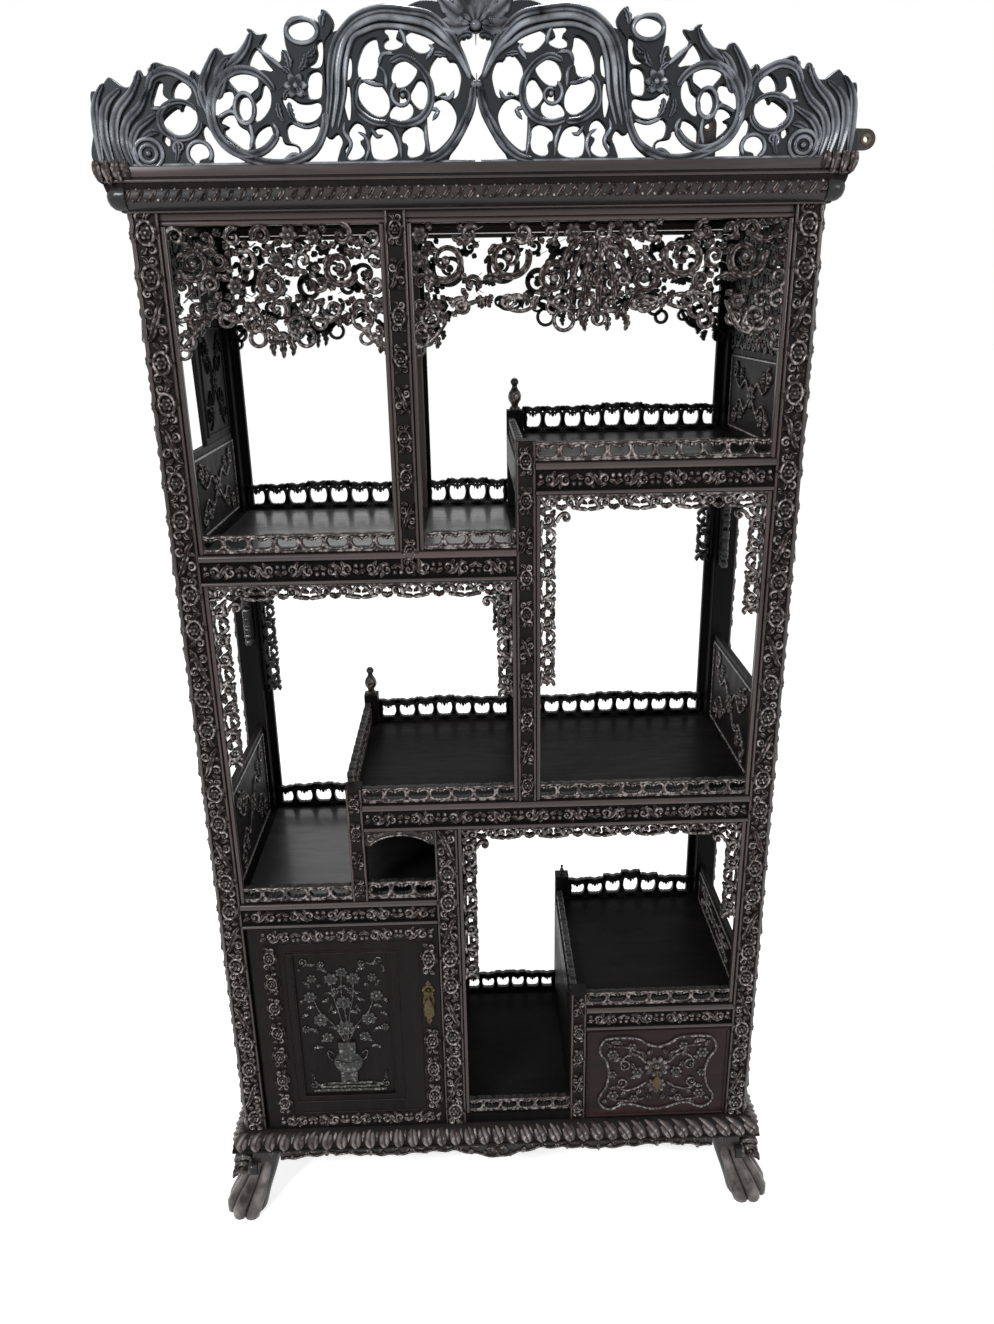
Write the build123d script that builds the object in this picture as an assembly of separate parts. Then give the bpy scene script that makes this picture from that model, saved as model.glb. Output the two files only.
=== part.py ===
from build123d import *
import os

os.makedirs("parts", exist_ok=True)

# A tall carved rosewood display cabinet with open shelves at staggered heights, a cupboard
# and a drawer below, clawed feet and a pierced scroll cresting.
# Lengths are in millimetres. The sizes below are measured from the front face of the posts
# (y = 0) and from the top of the base moulding (z = 0); the finished pieces are then moved so
# that the origin lies on the floor under the middle of the cabinet.

# Overall sizes
WIDTH = 950.0  # over the corner posts
DEPTH = 372.0  # over the corner posts
LEG_HEIGHT = 178.0  # floor to the top of the base moulding
TOE_REACH = 38.0  # claws in front of the posts
FOOT_SIDE_REACH = 43.0  # claws beyond the sides of the posts

# Posts
POST_W = 38.0
POST_D = 40.0
INNER_POST = 30.0  # square posts between the upper shelves
SHORT_POST = 27.0
DIVIDER_W = 39.0
DIVIDER_D = 34.0
DRAWER_POST = 28.0
POST_EDGE = 2.0
POST_CAP = 10.0  # back posts above their galleries
FINIAL_R = 12.0
FINIAL_H = 56.0
MID_POST_X = -116.0
CENTRE_POST_X = 62.0
SHORT_POST_X = -228.5
DIVIDER_X = -77.5
DRAWER_POST_X = 154.0

# Shelf surfaces, each measured from the one below it
CUPBOARD_TOP = 497.0
COMPARTMENT_H = 186.0
MIDDLE_BAY_H = 433.0
UPPER_STEP = 131.0
UPPER_BAY_H = 348.0
DRAWER_TOP = 257.0
NICHE_TOP = 20.0
BOARD_T = 12.0
RAIL_H = 50.0
RAIL_T = 22.0
SIDE_RAIL_W = 26.0
BEAD_H = 13.0
LOWER_BEAD_H = 8.0
BEAD_REACH = 4.0
CARVED_RECESS = 2.0

# Pierced work
FRET_T = 10.0
FRET_SETBACK = 6.0
FRET_EDGE = 5.0
FRET_WEB = 8.0
FRET_PITCH = 34.0
GALLERY_H = 31.0
BACK_GALLERY_H = 50.0
COMPARTMENT_GALLERY_H = GALLERY_H + BEAD_H / 2
STRIP_W = 34.0  # strips down the posts
TOP_STRIP_H = 31.0
LONG_STRIP = 312.0
SHORT_STRIP = 198.0
VALANCE_DROP = 195.0
SIDE_VALANCE_DROP = 150.0
ARC_RISE = 0.16
OVAL_LONG = 15.0
OVAL_SHORT = 9.0
OVAL_ROWS = 3
OVAL_START = 1.3  # rows of room above the first row
# Lower edges of the valances: share of the width, share of the drop
LEFT_KNOTS = [
    (0.0, 1.0), (0.06, 1.0), (0.14, 0.77), (0.30, 0.74), (0.43, 0.77), (0.5, 1.0),
    (0.57, 0.77), (0.70, 0.74), (0.86, 0.77), (0.94, 1.0), (1.0, 1.0),
]
RIGHT_KNOTS = [
    (0.0, 1.0), (0.05, 1.0), (0.10, 0.85), (0.16, 0.67), (0.30, 0.66), (0.42, 0.74), (0.50, 0.81),
    (0.58, 0.74), (0.70, 0.66), (0.82, 0.67), (0.86, 0.85), (0.92, 0.98), (0.97, 1.0), (1.0, 1.0),
]
SIDE_KNOTS = [
    (0.0, 1.0), (0.08, 1.0), (0.2, 0.63), (0.42, 0.53), (0.5, 0.73), (0.58, 0.53), (0.8, 0.63),
    (0.92, 1.0), (1.0, 1.0),
]

# Side panels
PANEL_T = 10.0
UPPER_LEFT_PANEL_H = 144.0
UPPER_RIGHT_PANEL_H = 143.0
MIDDLE_PANEL_H = 177.0
CUPBOARD_PANEL_H = 193.0
DRAWER_PANEL_H = 88.0

# Base and cornice
MOULDING_REACH = 25.0
RING_W = 40.0
BASE_H = 32.0
BASE_LIP = 6.0
BOTTOM_T = 15.0
APRON_H = 40.0
APRON_PENDANT = 13.0
APRON_T = 13.0
APRON_REACH = 8.0
NECK = 58.0
CLAW = 68.0
CLAW_ROUND = 16.0
CORNICE_H = 52.0
FASCIA_H = 19.0

# Cresting
CREST_T = 20.0
CREST_RAIL_H = 20.0
CREST_HALF = WIDTH / 2 + MOULDING_REACH  # flush with the cornice
CREST_H = 180.0
CREST_BAND = 16.0
SHELL_STEM = 16.0
SHELL_RISE = 165.0
SHELL_LOBE = 72.0

# Wall plates
PLATE_T = 6.0
PLATE_H = 30.0
EYE_R = 13.0
EYE_REACH = 25.0  # eye beyond the end of the cresting
EYE_Z = 24.0  # above the cornice
SECOND_EYE_Z = 43.0
EYELET_R = 4.0
EYELET_WALL = 3.0
EYELET_PROUD = 1.0
EYELET_FIT = 0.1

# Cupboard door
DOOR_T = 20.0
DOOR_SIDE_GAP = 1.0
DOOR_END_GAP = 2.0
DOOR_STILE_LEFT = 79.0
DOOR_STILE_RIGHT = 91.0
DOOR_RAIL_TOP = 50.0
DOOR_RAIL_BOTTOM = 73.0
DOOR_PANEL_T = 12.0
PIVOT_R = 3.5
PIVOT_LENGTH = 12.0
PIVOT_FIT = 0.1

# Cupboard, compartment and drawer case
WALL_T = 12.0
BACK_T = 10.0
RUNNER_H = 12.0
RUNNER_REACH = 24.0
COMPARTMENT_ARCH = 34.0

# Drawer
DRAWER_GAP = 1.5
DRAWER_FRONT_T = 20.0
DRAWER_SIDE_T = 12.0
DRAWER_BOTTOM_T = 6.0
DRAWER_INSET = 8.0
DRAWER_BACK_GAP = 30.0
DRAWER_SIDE_H = 150.0
RUNNER_FIT = 0.3

# Hanging pulls
PULL_PLATE_T = 3.0
PULL_PLATE_R = 11.0
PULL_PIN_R = 1.5
PULL_PIN_FIT = 0.1
PULL_SIDE_FIT = 0.3
PULL_EYE_R = 3.2
PULL_EYE_W = 5.0
PULL_EAR_T = 2.0
PULL_REACH = 5.0  # pin in front of the plate
PULL_DROP_W = 20.0
PULL_DROP_T = 3.0
DOOR_PULL_X = -119.0
DOOR_PULL_Z = 306.0
DOOR_DROP_H = 62.0
DRAWER_PULL_Z = 112.0
DRAWER_DROP_H = 44.0

# Positions that follow
MIDDLE_TOP = CUPBOARD_TOP + COMPARTMENT_H
UPPER_LEFT_TOP = MIDDLE_TOP + MIDDLE_BAY_H
UPPER_RIGHT_TOP = UPPER_LEFT_TOP + UPPER_STEP
POST_HEIGHT = UPPER_RIGHT_TOP + UPPER_BAY_H
HALF = WIDTH / 2
IN_LEFT = -HALF + POST_W
IN_RIGHT = HALF - POST_W
BACK_IN = DEPTH - RAIL_T
CORNICE_TOP = POST_HEIGHT + CORNICE_H
Y_MID = (DEPTH - TOE_REACH) / 2
MID_LEFT = MID_POST_X - INNER_POST / 2
MID_RIGHT = MID_POST_X + INNER_POST / 2
CENTRE_LEFT = CENTRE_POST_X - INNER_POST / 2
CENTRE_RIGHT = CENTRE_POST_X + INNER_POST / 2
SHORT_LEFT = SHORT_POST_X - SHORT_POST / 2
SHORT_RIGHT = SHORT_POST_X + SHORT_POST / 2
DIVIDER_LEFT = DIVIDER_X - DIVIDER_W / 2
DIVIDER_RIGHT = DIVIDER_X + DIVIDER_W / 2
DRAWER_POST_LEFT = DRAWER_POST_X - DRAWER_POST / 2
DRAWER_POST_RIGHT = DRAWER_POST_X + DRAWER_POST / 2

nodes = {}


def block(x0, x1, y0, y1, z0, z1):
    """Box between two opposite corners."""
    middle = Pos((x0 + x1) / 2, (y0 + y1) / 2, (z0 + z1) / 2)
    return middle * Box(x1 - x0, y1 - y0, z1 - z0)


def group(*pieces):
    """Separate solids that share one node."""
    return Compound(children=[solid for piece in pieces for solid in piece.solids()])


def front_sheet(face, y0, y1):
    """Board cut to a face drawn in x and z."""
    plane = Plane(origin=(0, y1, 0), x_dir=(1, 0, 0), z_dir=(0, -1, 0))
    return extrude(plane * face, amount=y1 - y0)


def side_sheet(face, x0, x1):
    """Board cut to a face drawn in y and z."""
    plane = Plane(origin=(x0, 0, 0), x_dir=(0, 1, 0), z_dir=(1, 0, 0))
    return extrude(plane * face, amount=x1 - x0)


def depth_at(y, front):
    """Depth of a point of a front piece, or of its twin in the back plane."""
    return y if front else DEPTH - y


def side_twin(piece):
    """The same piece on the other side of the cabinet."""
    return mirror(piece, about=Plane.YZ)


def pierced(u0, u1, v0, v1):
    """Strip pierced with a row of ovals along its longer side."""
    wide, tall = u1 - u0, v1 - v0
    run, across = max(wide, tall), min(wide, tall)
    count = max(1, round(run / FRET_PITCH))
    step = run / count
    strip = Pos((u0 + u1) / 2, (v0 + v1) / 2) * Rectangle(wide, tall)
    ovals = []
    for index in range(count):
        along = (index + 0.5) * step
        if wide >= tall:
            place = Pos(u0 + along, (v0 + v1) / 2)
            oval = Ellipse((step - FRET_WEB) / 2, across / 2 - FRET_EDGE)
        else:
            place = Pos((u0 + u1) / 2, v0 + along)
            oval = Ellipse(across / 2 - FRET_EDGE, (step - FRET_WEB) / 2)
        ovals.append(place * oval)
    return strip - ovals


def scalloped(u0, u1, top, knots):
    """Board with a straight top whose lower edge is a chain of arcs through the knots.

    A knot is a share of the board's width and a distance below its top.
    """
    points = [(u0 + share * (u1 - u0), top - drop) for share, drop in knots]
    edges = [Line(points[0], (u0, top)), Line((u0, top), (u1, top)), Line((u1, top), points[-1])]
    for start, end in zip(points, points[1:]):
        rise = (end[0] - start[0]) * ARC_RISE
        crown = ((start[0] + end[0]) / 2, (start[1] + end[1]) / 2 + rise)
        edges.append(ThreePointArc(start, crown, end))
    return make_face(edges)


def post(x, wide, deep, z0, z1, front):
    """Square post with eased edges, in the front or the back plane."""
    y0, y1 = sorted((depth_at(0, front), depth_at(deep, front)))
    return fillet(block(x, x + wide, y0, y1, z0, z1).edges().filter_by(Axis.Z), POST_EDGE)


def carved_rail(x0, x1, top, front):
    """Carved rail with a bead above and a bead below."""
    low = top - RAIL_H
    inner = depth_at(RAIL_T, front)
    face = depth_at(0, front)
    recess = depth_at(CARVED_RECESS, front)
    crown = depth_at(-BEAD_REACH, front)
    outline = [
        Line((inner, low), (face, low)),
        ThreePointArc((face, low), (crown, low + LOWER_BEAD_H / 2), (face, low + LOWER_BEAD_H)),
        Polyline(
            (face, low + LOWER_BEAD_H), (recess, low + LOWER_BEAD_H),
            (recess, top - BEAD_H), (face, top - BEAD_H),
        ),
        ThreePointArc((face, top - BEAD_H), (crown, top - BEAD_H / 2), (face, top)),
        Polyline((face, top), (inner, top), (inner, low)),
    ]
    return side_sheet(make_face(outline), x0, x1)


def flat_fret(face, front):
    """Pierced work of a face drawn in x and z, in the front or the back plane."""
    y0, y1 = sorted((depth_at(FRET_SETBACK, front), depth_at(FRET_SETBACK + FRET_T, front)))
    return front_sheet(face, y0, y1)


def fret(x0, x1, z0, z1, front=True):
    """Pierced strip in the front or the back plane."""
    return flat_fret(pierced(x0, x1, z0, z1), front)


def side_fret(x, y0, y1, z0, z1):
    """Pierced strip that runs from front to back, centred on x."""
    return side_sheet(pierced(y0, y1, z0, z1), x - FRET_T / 2, x + FRET_T / 2)


def shelf(x0, x1, top, left_rail, right_rail):
    """Shelf board with its rails; a side rail is a pair of x limits and a pair of y limits."""
    pieces = [
        block(x0, x1, RAIL_T, BACK_IN, top - BOARD_T, top),
        carved_rail(x0, x1, top, True),
        carved_rail(x0, x1, top, False),
    ]
    for (rail_x0, rail_x1), (rail_y0, rail_y1) in (left_rail, right_rail):
        pieces.append(block(rail_x0, rail_x1, rail_y0, rail_y1, top - RAIL_H, top))
    return group(*pieces)


def between(depth):
    """Depth limits between a front post and a back post of one depth."""
    return depth, DEPTH - depth


# Corner posts
for place, front in (("front", True), ("back", False)):
    nodes[f"post_{place}_left"] = post(-HALF, POST_W, POST_D, 0, POST_HEIGHT, front)
    nodes[f"post_{place}_right"] = post(IN_RIGHT, POST_W, POST_D, 0, POST_HEIGHT, front)

# Inner posts; those at the back rise above the back galleries
front_centre_top = UPPER_RIGHT_TOP + GALLERY_H
back_centre_top = front_centre_top + POST_CAP
front_short_top = MIDDLE_TOP + GALLERY_H
back_short_top = MIDDLE_TOP + BACK_GALLERY_H + POST_CAP
front_drawer_top = DRAWER_TOP + GALLERY_H
back_drawer_top = DRAWER_TOP + BACK_GALLERY_H + POST_CAP
for place, front in (("front", True), ("back", False)):
    centre_top = front_centre_top if front else back_centre_top
    nodes[f"mid_post_{place}"] = post(MID_LEFT, INNER_POST, INNER_POST, UPPER_LEFT_TOP, POST_HEIGHT, front)
    nodes[f"centre_post_{place}"] = post(CENTRE_LEFT, INNER_POST, INNER_POST, MIDDLE_TOP, centre_top, front)
    nodes[f"divider_post_{place}"] = post(DIVIDER_LEFT, DIVIDER_W, DIVIDER_D, 0, MIDDLE_TOP - RAIL_H, front)
nodes["short_posts"] = group(
    post(SHORT_LEFT, SHORT_POST, SHORT_POST, CUPBOARD_TOP, front_short_top, True),
    post(SHORT_LEFT, SHORT_POST, SHORT_POST, CUPBOARD_TOP, back_short_top, False),
)
nodes["drawer_posts"] = group(
    post(DRAWER_POST_LEFT, DRAWER_POST, DRAWER_POST, 0, front_drawer_top, True),
    post(DRAWER_POST_LEFT, DRAWER_POST, DRAWER_POST, 0, back_drawer_top, False),
)

# Finials on the free tops of the inner back posts


def finial(x, deep, z):
    """Turned bud on a short neck."""
    neck = FINIAL_R / 2
    profile = [
        Polyline((0, 0), (neck * 1.6, 0), (neck, FINIAL_H * 0.2)),
        ThreePointArc((neck, FINIAL_H * 0.2), (FINIAL_R, FINIAL_H * 0.5), (neck / 2, FINIAL_H * 0.85)),
        Polyline((neck / 2, FINIAL_H * 0.85), (0, FINIAL_H), (0, 0)),
    ]
    bud = revolve(Plane.XZ * make_face(profile), Axis.Z)
    return Pos(x, DEPTH - deep / 2, z) * bud


nodes["finials"] = group(
    finial(CENTRE_POST_X, INNER_POST, back_centre_top),
    finial(SHORT_POST_X, SHORT_POST, back_short_top),
    finial(DRAWER_POST_X, DRAWER_POST, back_drawer_top),
)

# Shelves with their rails
left_side = (IN_LEFT - SIDE_RAIL_W, IN_LEFT), between(POST_D)
right_side = (IN_RIGHT, IN_RIGHT + SIDE_RAIL_W), between(POST_D)
centre_side = (CENTRE_LEFT, CENTRE_RIGHT), between(INNER_POST)
short_side = (SHORT_LEFT, SHORT_RIGHT), between(SHORT_POST)
divider_side = (DIVIDER_LEFT, DIVIDER_RIGHT), between(DIVIDER_D)
drawer_side = (DRAWER_POST_LEFT, DRAWER_POST_RIGHT), between(DRAWER_POST)
nodes["shelf_upper_left"] = shelf(IN_LEFT, CENTRE_LEFT, UPPER_LEFT_TOP, left_side, centre_side)
nodes["shelf_upper_right"] = shelf(CENTRE_RIGHT, IN_RIGHT, UPPER_RIGHT_TOP, centre_side, right_side)
nodes["shelf_middle"] = shelf(SHORT_RIGHT, IN_RIGHT, MIDDLE_TOP, short_side, right_side)
nodes["shelf_drawer"] = shelf(DRAWER_POST_RIGHT, IN_RIGHT, DRAWER_TOP, drawer_side, right_side)
cupboard_shelf = shelf(IN_LEFT, DIVIDER_LEFT, CUPBOARD_TOP, left_side, divider_side)
PIVOT_X = IN_LEFT + DOOR_SIDE_GAP + DOOR_T / 2
PIVOT_Y = DOOR_T / 2
DOOR_OPENING_TOP = CUPBOARD_TOP - RAIL_H
socket = Cylinder(PIVOT_R + PIVOT_FIT, PIVOT_LENGTH * 2)
top_socket = Pos(PIVOT_X, PIVOT_Y, DOOR_OPENING_TOP) * socket
nodes["shelf_cupboard"] = group(*[solid - top_socket for solid in cupboard_shelf.solids()])

# Galleries that edge the shelves
nodes["gallery_upper_left"] = group(
    fret(IN_LEFT, MID_LEFT, UPPER_LEFT_TOP, UPPER_LEFT_TOP + GALLERY_H),
    fret(MID_RIGHT, CENTRE_LEFT, UPPER_LEFT_TOP, UPPER_LEFT_TOP + GALLERY_H),
    fret(IN_LEFT, MID_LEFT, UPPER_LEFT_TOP, UPPER_LEFT_TOP + BACK_GALLERY_H, front=False),
    fret(MID_RIGHT, CENTRE_LEFT, UPPER_LEFT_TOP, UPPER_LEFT_TOP + BACK_GALLERY_H, front=False),
)
nodes["gallery_upper_right"] = group(
    fret(CENTRE_RIGHT, IN_RIGHT, UPPER_RIGHT_TOP, UPPER_RIGHT_TOP + GALLERY_H),
    fret(CENTRE_RIGHT, IN_RIGHT, UPPER_RIGHT_TOP, UPPER_RIGHT_TOP + BACK_GALLERY_H, front=False),
    side_fret(CENTRE_POST_X, *between(INNER_POST), UPPER_RIGHT_TOP, UPPER_RIGHT_TOP + GALLERY_H),
)
nodes["gallery_middle"] = group(
    fret(SHORT_RIGHT, CENTRE_LEFT, MIDDLE_TOP, MIDDLE_TOP + GALLERY_H),
    fret(CENTRE_RIGHT, IN_RIGHT, MIDDLE_TOP, MIDDLE_TOP + GALLERY_H),
    fret(SHORT_RIGHT, CENTRE_LEFT, MIDDLE_TOP, MIDDLE_TOP + BACK_GALLERY_H, front=False),
    fret(CENTRE_RIGHT, IN_RIGHT, MIDDLE_TOP, MIDDLE_TOP + BACK_GALLERY_H, front=False),
    side_fret(SHORT_POST_X, *between(SHORT_POST), MIDDLE_TOP, MIDDLE_TOP + BACK_GALLERY_H),
)
nodes["gallery_cupboard"] = group(
    fret(IN_LEFT, SHORT_LEFT, CUPBOARD_TOP, CUPBOARD_TOP + GALLERY_H),
    fret(SHORT_RIGHT, DIVIDER_LEFT, CUPBOARD_TOP, CUPBOARD_TOP + COMPARTMENT_GALLERY_H),
    fret(IN_LEFT, SHORT_LEFT, CUPBOARD_TOP, CUPBOARD_TOP + BACK_GALLERY_H, front=False),
)
nodes["gallery_drawer"] = group(
    fret(DRAWER_POST_RIGHT, IN_RIGHT, DRAWER_TOP, DRAWER_TOP + GALLERY_H),
    fret(DRAWER_POST_RIGHT, IN_RIGHT, DRAWER_TOP, DRAWER_TOP + BACK_GALLERY_H, front=False),
    side_fret(DRAWER_POST_X, *between(DRAWER_POST), DRAWER_TOP, DRAWER_TOP + GALLERY_H),
)
nodes["gallery_niche"] = group(
    fret(DIVIDER_RIGHT, DRAWER_POST_LEFT, NICHE_TOP, NICHE_TOP + GALLERY_H),
    fret(DIVIDER_RIGHT, DRAWER_POST_LEFT, NICHE_TOP, NICHE_TOP + BACK_GALLERY_H, front=False),
)

# Valances under the cornice


def valance(u0, u1, drop, knots):
    """Scalloped board pierced with staggered rows of ovals above its shallowest scallop."""
    board = scalloped(u0, u1, POST_HEIGHT, [(share, depth * drop) for share, depth in knots])
    count = round((u1 - u0) / (OVAL_LONG * 2 + FRET_WEB))
    step = (u1 - u0) / count
    row_step = OVAL_SHORT * 2 + FRET_WEB
    room = min(depth for share, depth in knots) * drop - row_step
    ovals = []
    for row in range(min(OVAL_ROWS, int(room // row_step))):
        level = (row + OVAL_START) * row_step
        for index in range(count - row % 2):
            along = (index + 0.5 + 0.5 * (row % 2)) * step
            ovals.append(Pos(u0 + along, POST_HEIGHT - level) * Ellipse(OVAL_LONG, OVAL_SHORT))
    return board - ovals


left_valance = valance(IN_LEFT, MID_LEFT, VALANCE_DROP, LEFT_KNOTS)
right_valance = valance(MID_RIGHT, IN_RIGHT, VALANCE_DROP, RIGHT_KNOTS)
nodes["valance_left"] = group(flat_fret(left_valance, True), flat_fret(left_valance, False))
nodes["valance_right"] = group(flat_fret(right_valance, True), flat_fret(right_valance, False))


def hanging_frames(x0, x1, top, left_length, right_length):
    """Pierced strip below a shelf rail with a strip down the post at each end, front and back."""
    low = top - TOP_STRIP_H
    pieces = []
    for front in (True, False):
        pieces.append(fret(x0, x1, low, top, front))
        pieces.append(fret(x0, x0 + STRIP_W, top - left_length, low, front))
        pieces.append(fret(x1 - STRIP_W, x1, top - right_length, low, front))
    return group(*pieces)


UPPER_LEFT_LOW = UPPER_LEFT_TOP - RAIL_H
UPPER_RIGHT_LOW = UPPER_RIGHT_TOP - RAIL_H
MIDDLE_LOW = MIDDLE_TOP - RAIL_H
nodes["fret_mid_left"] = hanging_frames(IN_LEFT, CENTRE_LEFT, UPPER_LEFT_LOW, LONG_STRIP, SHORT_STRIP)
nodes["fret_mid_right"] = hanging_frames(CENTRE_RIGHT, IN_RIGHT, UPPER_RIGHT_LOW, LONG_STRIP, SHORT_STRIP)
nodes["fret_lower"] = hanging_frames(DIVIDER_RIGHT, IN_RIGHT, MIDDLE_LOW, LONG_STRIP, SHORT_STRIP)
ARCH_KNOTS = [(0.0, COMPARTMENT_ARCH), (0.5, COMPARTMENT_ARCH / 2), (1.0, COMPARTMENT_ARCH)]
arch = scalloped(SHORT_RIGHT, DIVIDER_LEFT, MIDDLE_LOW, ARCH_KNOTS)
nodes["compartment_valance"] = flat_fret(arch, True)

# Sides: closed carved panels on each level and pierced frames below the rails
SIDE_X = HALF - POST_W + SIDE_RAIL_W / 2
SIDE_Y = between(POST_D)


def side_panel(side, z0, height):
    """Closed panel between a front and a back post; side is -1 on the left and 1 on the right."""
    x = side * SIDE_X
    return block(x - PANEL_T / 2, x + PANEL_T / 2, *SIDE_Y, z0, z0 + height)


def side_frame(side, top):
    """Pierced frame below a side rail."""
    x = side * SIDE_X
    y0, y1 = SIDE_Y
    low = top - TOP_STRIP_H
    return [
        side_fret(x, y0, y1, low, top),
        side_fret(x, y0, y0 + STRIP_W, top - SHORT_STRIP, low),
        side_fret(x, y1 - STRIP_W, y1, top - SHORT_STRIP, low),
    ]


def side_valance(side):
    """Scalloped pierced board below the cornice."""
    x = side * SIDE_X
    return side_sheet(valance(*SIDE_Y, SIDE_VALANCE_DROP, SIDE_KNOTS), x - FRET_T / 2, x + FRET_T / 2)


nodes["side_panels_left"] = group(
    side_panel(-1, UPPER_LEFT_TOP, UPPER_LEFT_PANEL_H),
    side_panel(-1, CUPBOARD_TOP, CUPBOARD_PANEL_H),
    side_panel(-1, 0, CUPBOARD_TOP - RAIL_H),
)
nodes["side_panels_right"] = group(
    side_panel(1, UPPER_RIGHT_TOP, UPPER_RIGHT_PANEL_H),
    side_panel(1, MIDDLE_TOP, MIDDLE_PANEL_H),
    side_panel(1, DRAWER_TOP, DRAWER_PANEL_H),
    side_panel(1, 0, DRAWER_TOP - RAIL_H),
)
nodes["side_frets_left"] = group(side_valance(-1), *side_frame(-1, UPPER_LEFT_LOW))
nodes["side_frets_right"] = group(
    side_valance(1), *side_frame(1, UPPER_RIGHT_LOW), *side_frame(1, MIDDLE_LOW)
)

# Cupboard, small compartment and drawer case
WALL_Y = between(DIVIDER_D)
nodes["cupboard_walls"] = group(
    block(DIVIDER_RIGHT - WALL_T, DIVIDER_RIGHT, *WALL_Y, 0, CUPBOARD_TOP - RAIL_H),
    block(DIVIDER_LEFT, DIVIDER_LEFT + WALL_T, *WALL_Y, CUPBOARD_TOP, MIDDLE_TOP - RAIL_H),
    block(IN_LEFT, DIVIDER_LEFT, BACK_IN, BACK_IN + BACK_T, 0, CUPBOARD_TOP - RAIL_H),
    block(SHORT_RIGHT, DIVIDER_LEFT, BACK_IN, BACK_IN + BACK_T, CUPBOARD_TOP, MIDDLE_TOP - RAIL_H),
)
CASE_Y = between(DRAWER_POST)
DRAWER_CASE_TOP = DRAWER_TOP - RAIL_H
case_wall_in = DRAWER_POST_LEFT + WALL_T
right_wall_in = SIDE_X - PANEL_T / 2
nodes["drawer_case"] = group(
    block(DRAWER_POST_LEFT, case_wall_in, *CASE_Y, 0, DRAWER_CASE_TOP),
    block(DRAWER_POST_RIGHT, IN_RIGHT, BACK_IN, BACK_IN + BACK_T, 0, DRAWER_CASE_TOP),
    block(case_wall_in, DRAWER_POST_RIGHT + RUNNER_REACH, POST_D, DEPTH - POST_D, 0, RUNNER_H),
    block(IN_RIGHT - RUNNER_REACH, right_wall_in, POST_D, DEPTH - POST_D, 0, RUNNER_H),
)

# Base: moulding with mitred corners, boards, aprons and feet


def ring(profile):
    """Moulding round the front and the sides; a profile point is an outward reach and a height."""
    route = Polyline((-HALF, DEPTH, 0), (-HALF, 0, 0), (HALF, 0, 0), (HALF, DEPTH, 0))
    plane = Plane(origin=(-HALF, DEPTH, 0), x_dir=(-1, 0, 0), z_dir=(0, -1, 0))
    return sweep(plane * profile, path=route, transition=Transition.RIGHT)


def ogee(low, high, foot_reach, head_reach):
    """Ring section whose outer edge swells from one reach to another."""
    middle = (low + high) / 2
    swell = (foot_reach + head_reach) / 2 + abs(foot_reach - head_reach) / 4
    edges = [
        Polyline((foot_reach, -low), (-RING_W, -low), (-RING_W, -high), (head_reach, -high)),
        ThreePointArc((head_reach, -high), (swell, -middle), (foot_reach, -low)),
    ]
    return make_face(edges)


lip = Pos((MOULDING_REACH - RING_W) / 2, BASE_H - BASE_LIP / 2) * Rectangle(MOULDING_REACH + RING_W, BASE_LIP)
base_profile = ogee(-BASE_H + BASE_LIP, 0, MOULDING_REACH, POST_EDGE) + lip
bottom_socket = Pos(PIVOT_X, PIVOT_Y, 0) * socket
base_back = block(-HALF + RING_W, HALF - RING_W, DEPTH - RING_W, DEPTH, -BASE_H, 0)
nodes["base_moulding"] = group(ring(base_profile) - bottom_socket, base_back)
nodes["bottom_boards"] = group(
    block(-HALF + RING_W, HALF - RING_W, RING_W, DEPTH - RING_W, -BOTTOM_T, 0),
    block(DIVIDER_RIGHT, DRAWER_POST_LEFT, RAIL_T, BACK_IN, NICHE_TOP - BOARD_T, NICHE_TOP),
    block(DIVIDER_RIGHT, DRAWER_POST_LEFT, 0, RAIL_T, 0, NICHE_TOP),
    block(DIVIDER_RIGHT, DRAWER_POST_LEFT, BACK_IN, DEPTH, 0, NICHE_TOP),
)

NECK_IN = -HALF + NECK
APRON_KNOTS = [
    (0.0, APRON_H), (0.12, APRON_H * 0.7), (0.26, APRON_H * 0.9), (0.4, APRON_H * 0.75),
    (0.5, APRON_H + APRON_PENDANT), (0.6, APRON_H * 0.75), (0.74, APRON_H * 0.9), (0.88, APRON_H * 0.7),
    (1.0, APRON_H),
]
front_apron = front_sheet(
    scalloped(NECK_IN, -NECK_IN, -BASE_H, APRON_KNOTS), -APRON_REACH, APRON_T - APRON_REACH
)
side_apron = scalloped(NECK, DEPTH - NECK, -BASE_H, APRON_KNOTS)
apron_out = HALF + APRON_REACH
nodes["aprons"] = group(
    front_apron,
    side_sheet(side_apron, -apron_out, -apron_out + APRON_T),
    side_sheet(side_apron, apron_out - APRON_T, apron_out),
)



def foot(side, front):
    """Cabriole leg that narrows below the moulding and spreads into a claw."""
    paw_x = side * (HALF + FOOT_SIDE_REACH - CLAW / 2)
    neck_x = side * (HALF - NECK / 2)
    neck_y = NECK / 2 if front else DEPTH - NECK / 2
    paw_y = CLAW / 2 - TOE_REACH if front else DEPTH - CLAW / 2
    drop = LEG_HEIGHT - BASE_H
    stations = [(0.0, 0.0, NECK), (0.28, 0.0, NECK * 0.94), (0.55, 0.22, NECK * 0.78)]
    stations += [(0.76, 0.62, NECK * 0.86), (0.92, 0.98, CLAW * 0.99), (1.0, 1.0, CLAW)]
    sections = []
    for down, shift, size in stations:
        x = neck_x + (paw_x - neck_x) * shift
        y = neck_y + (paw_y - neck_y) * shift
        outline = RectangleRounded(size, size, CLAW_ROUND)
        sections.append(Pos(x, y, -BASE_H - drop * down) * outline)
    return loft(sections)


for place, front in (("front", True), ("back", False)):
    nodes[f"foot_{place}_left"] = foot(-1, front)
    nodes[f"foot_{place}_right"] = foot(1, front)

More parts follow.
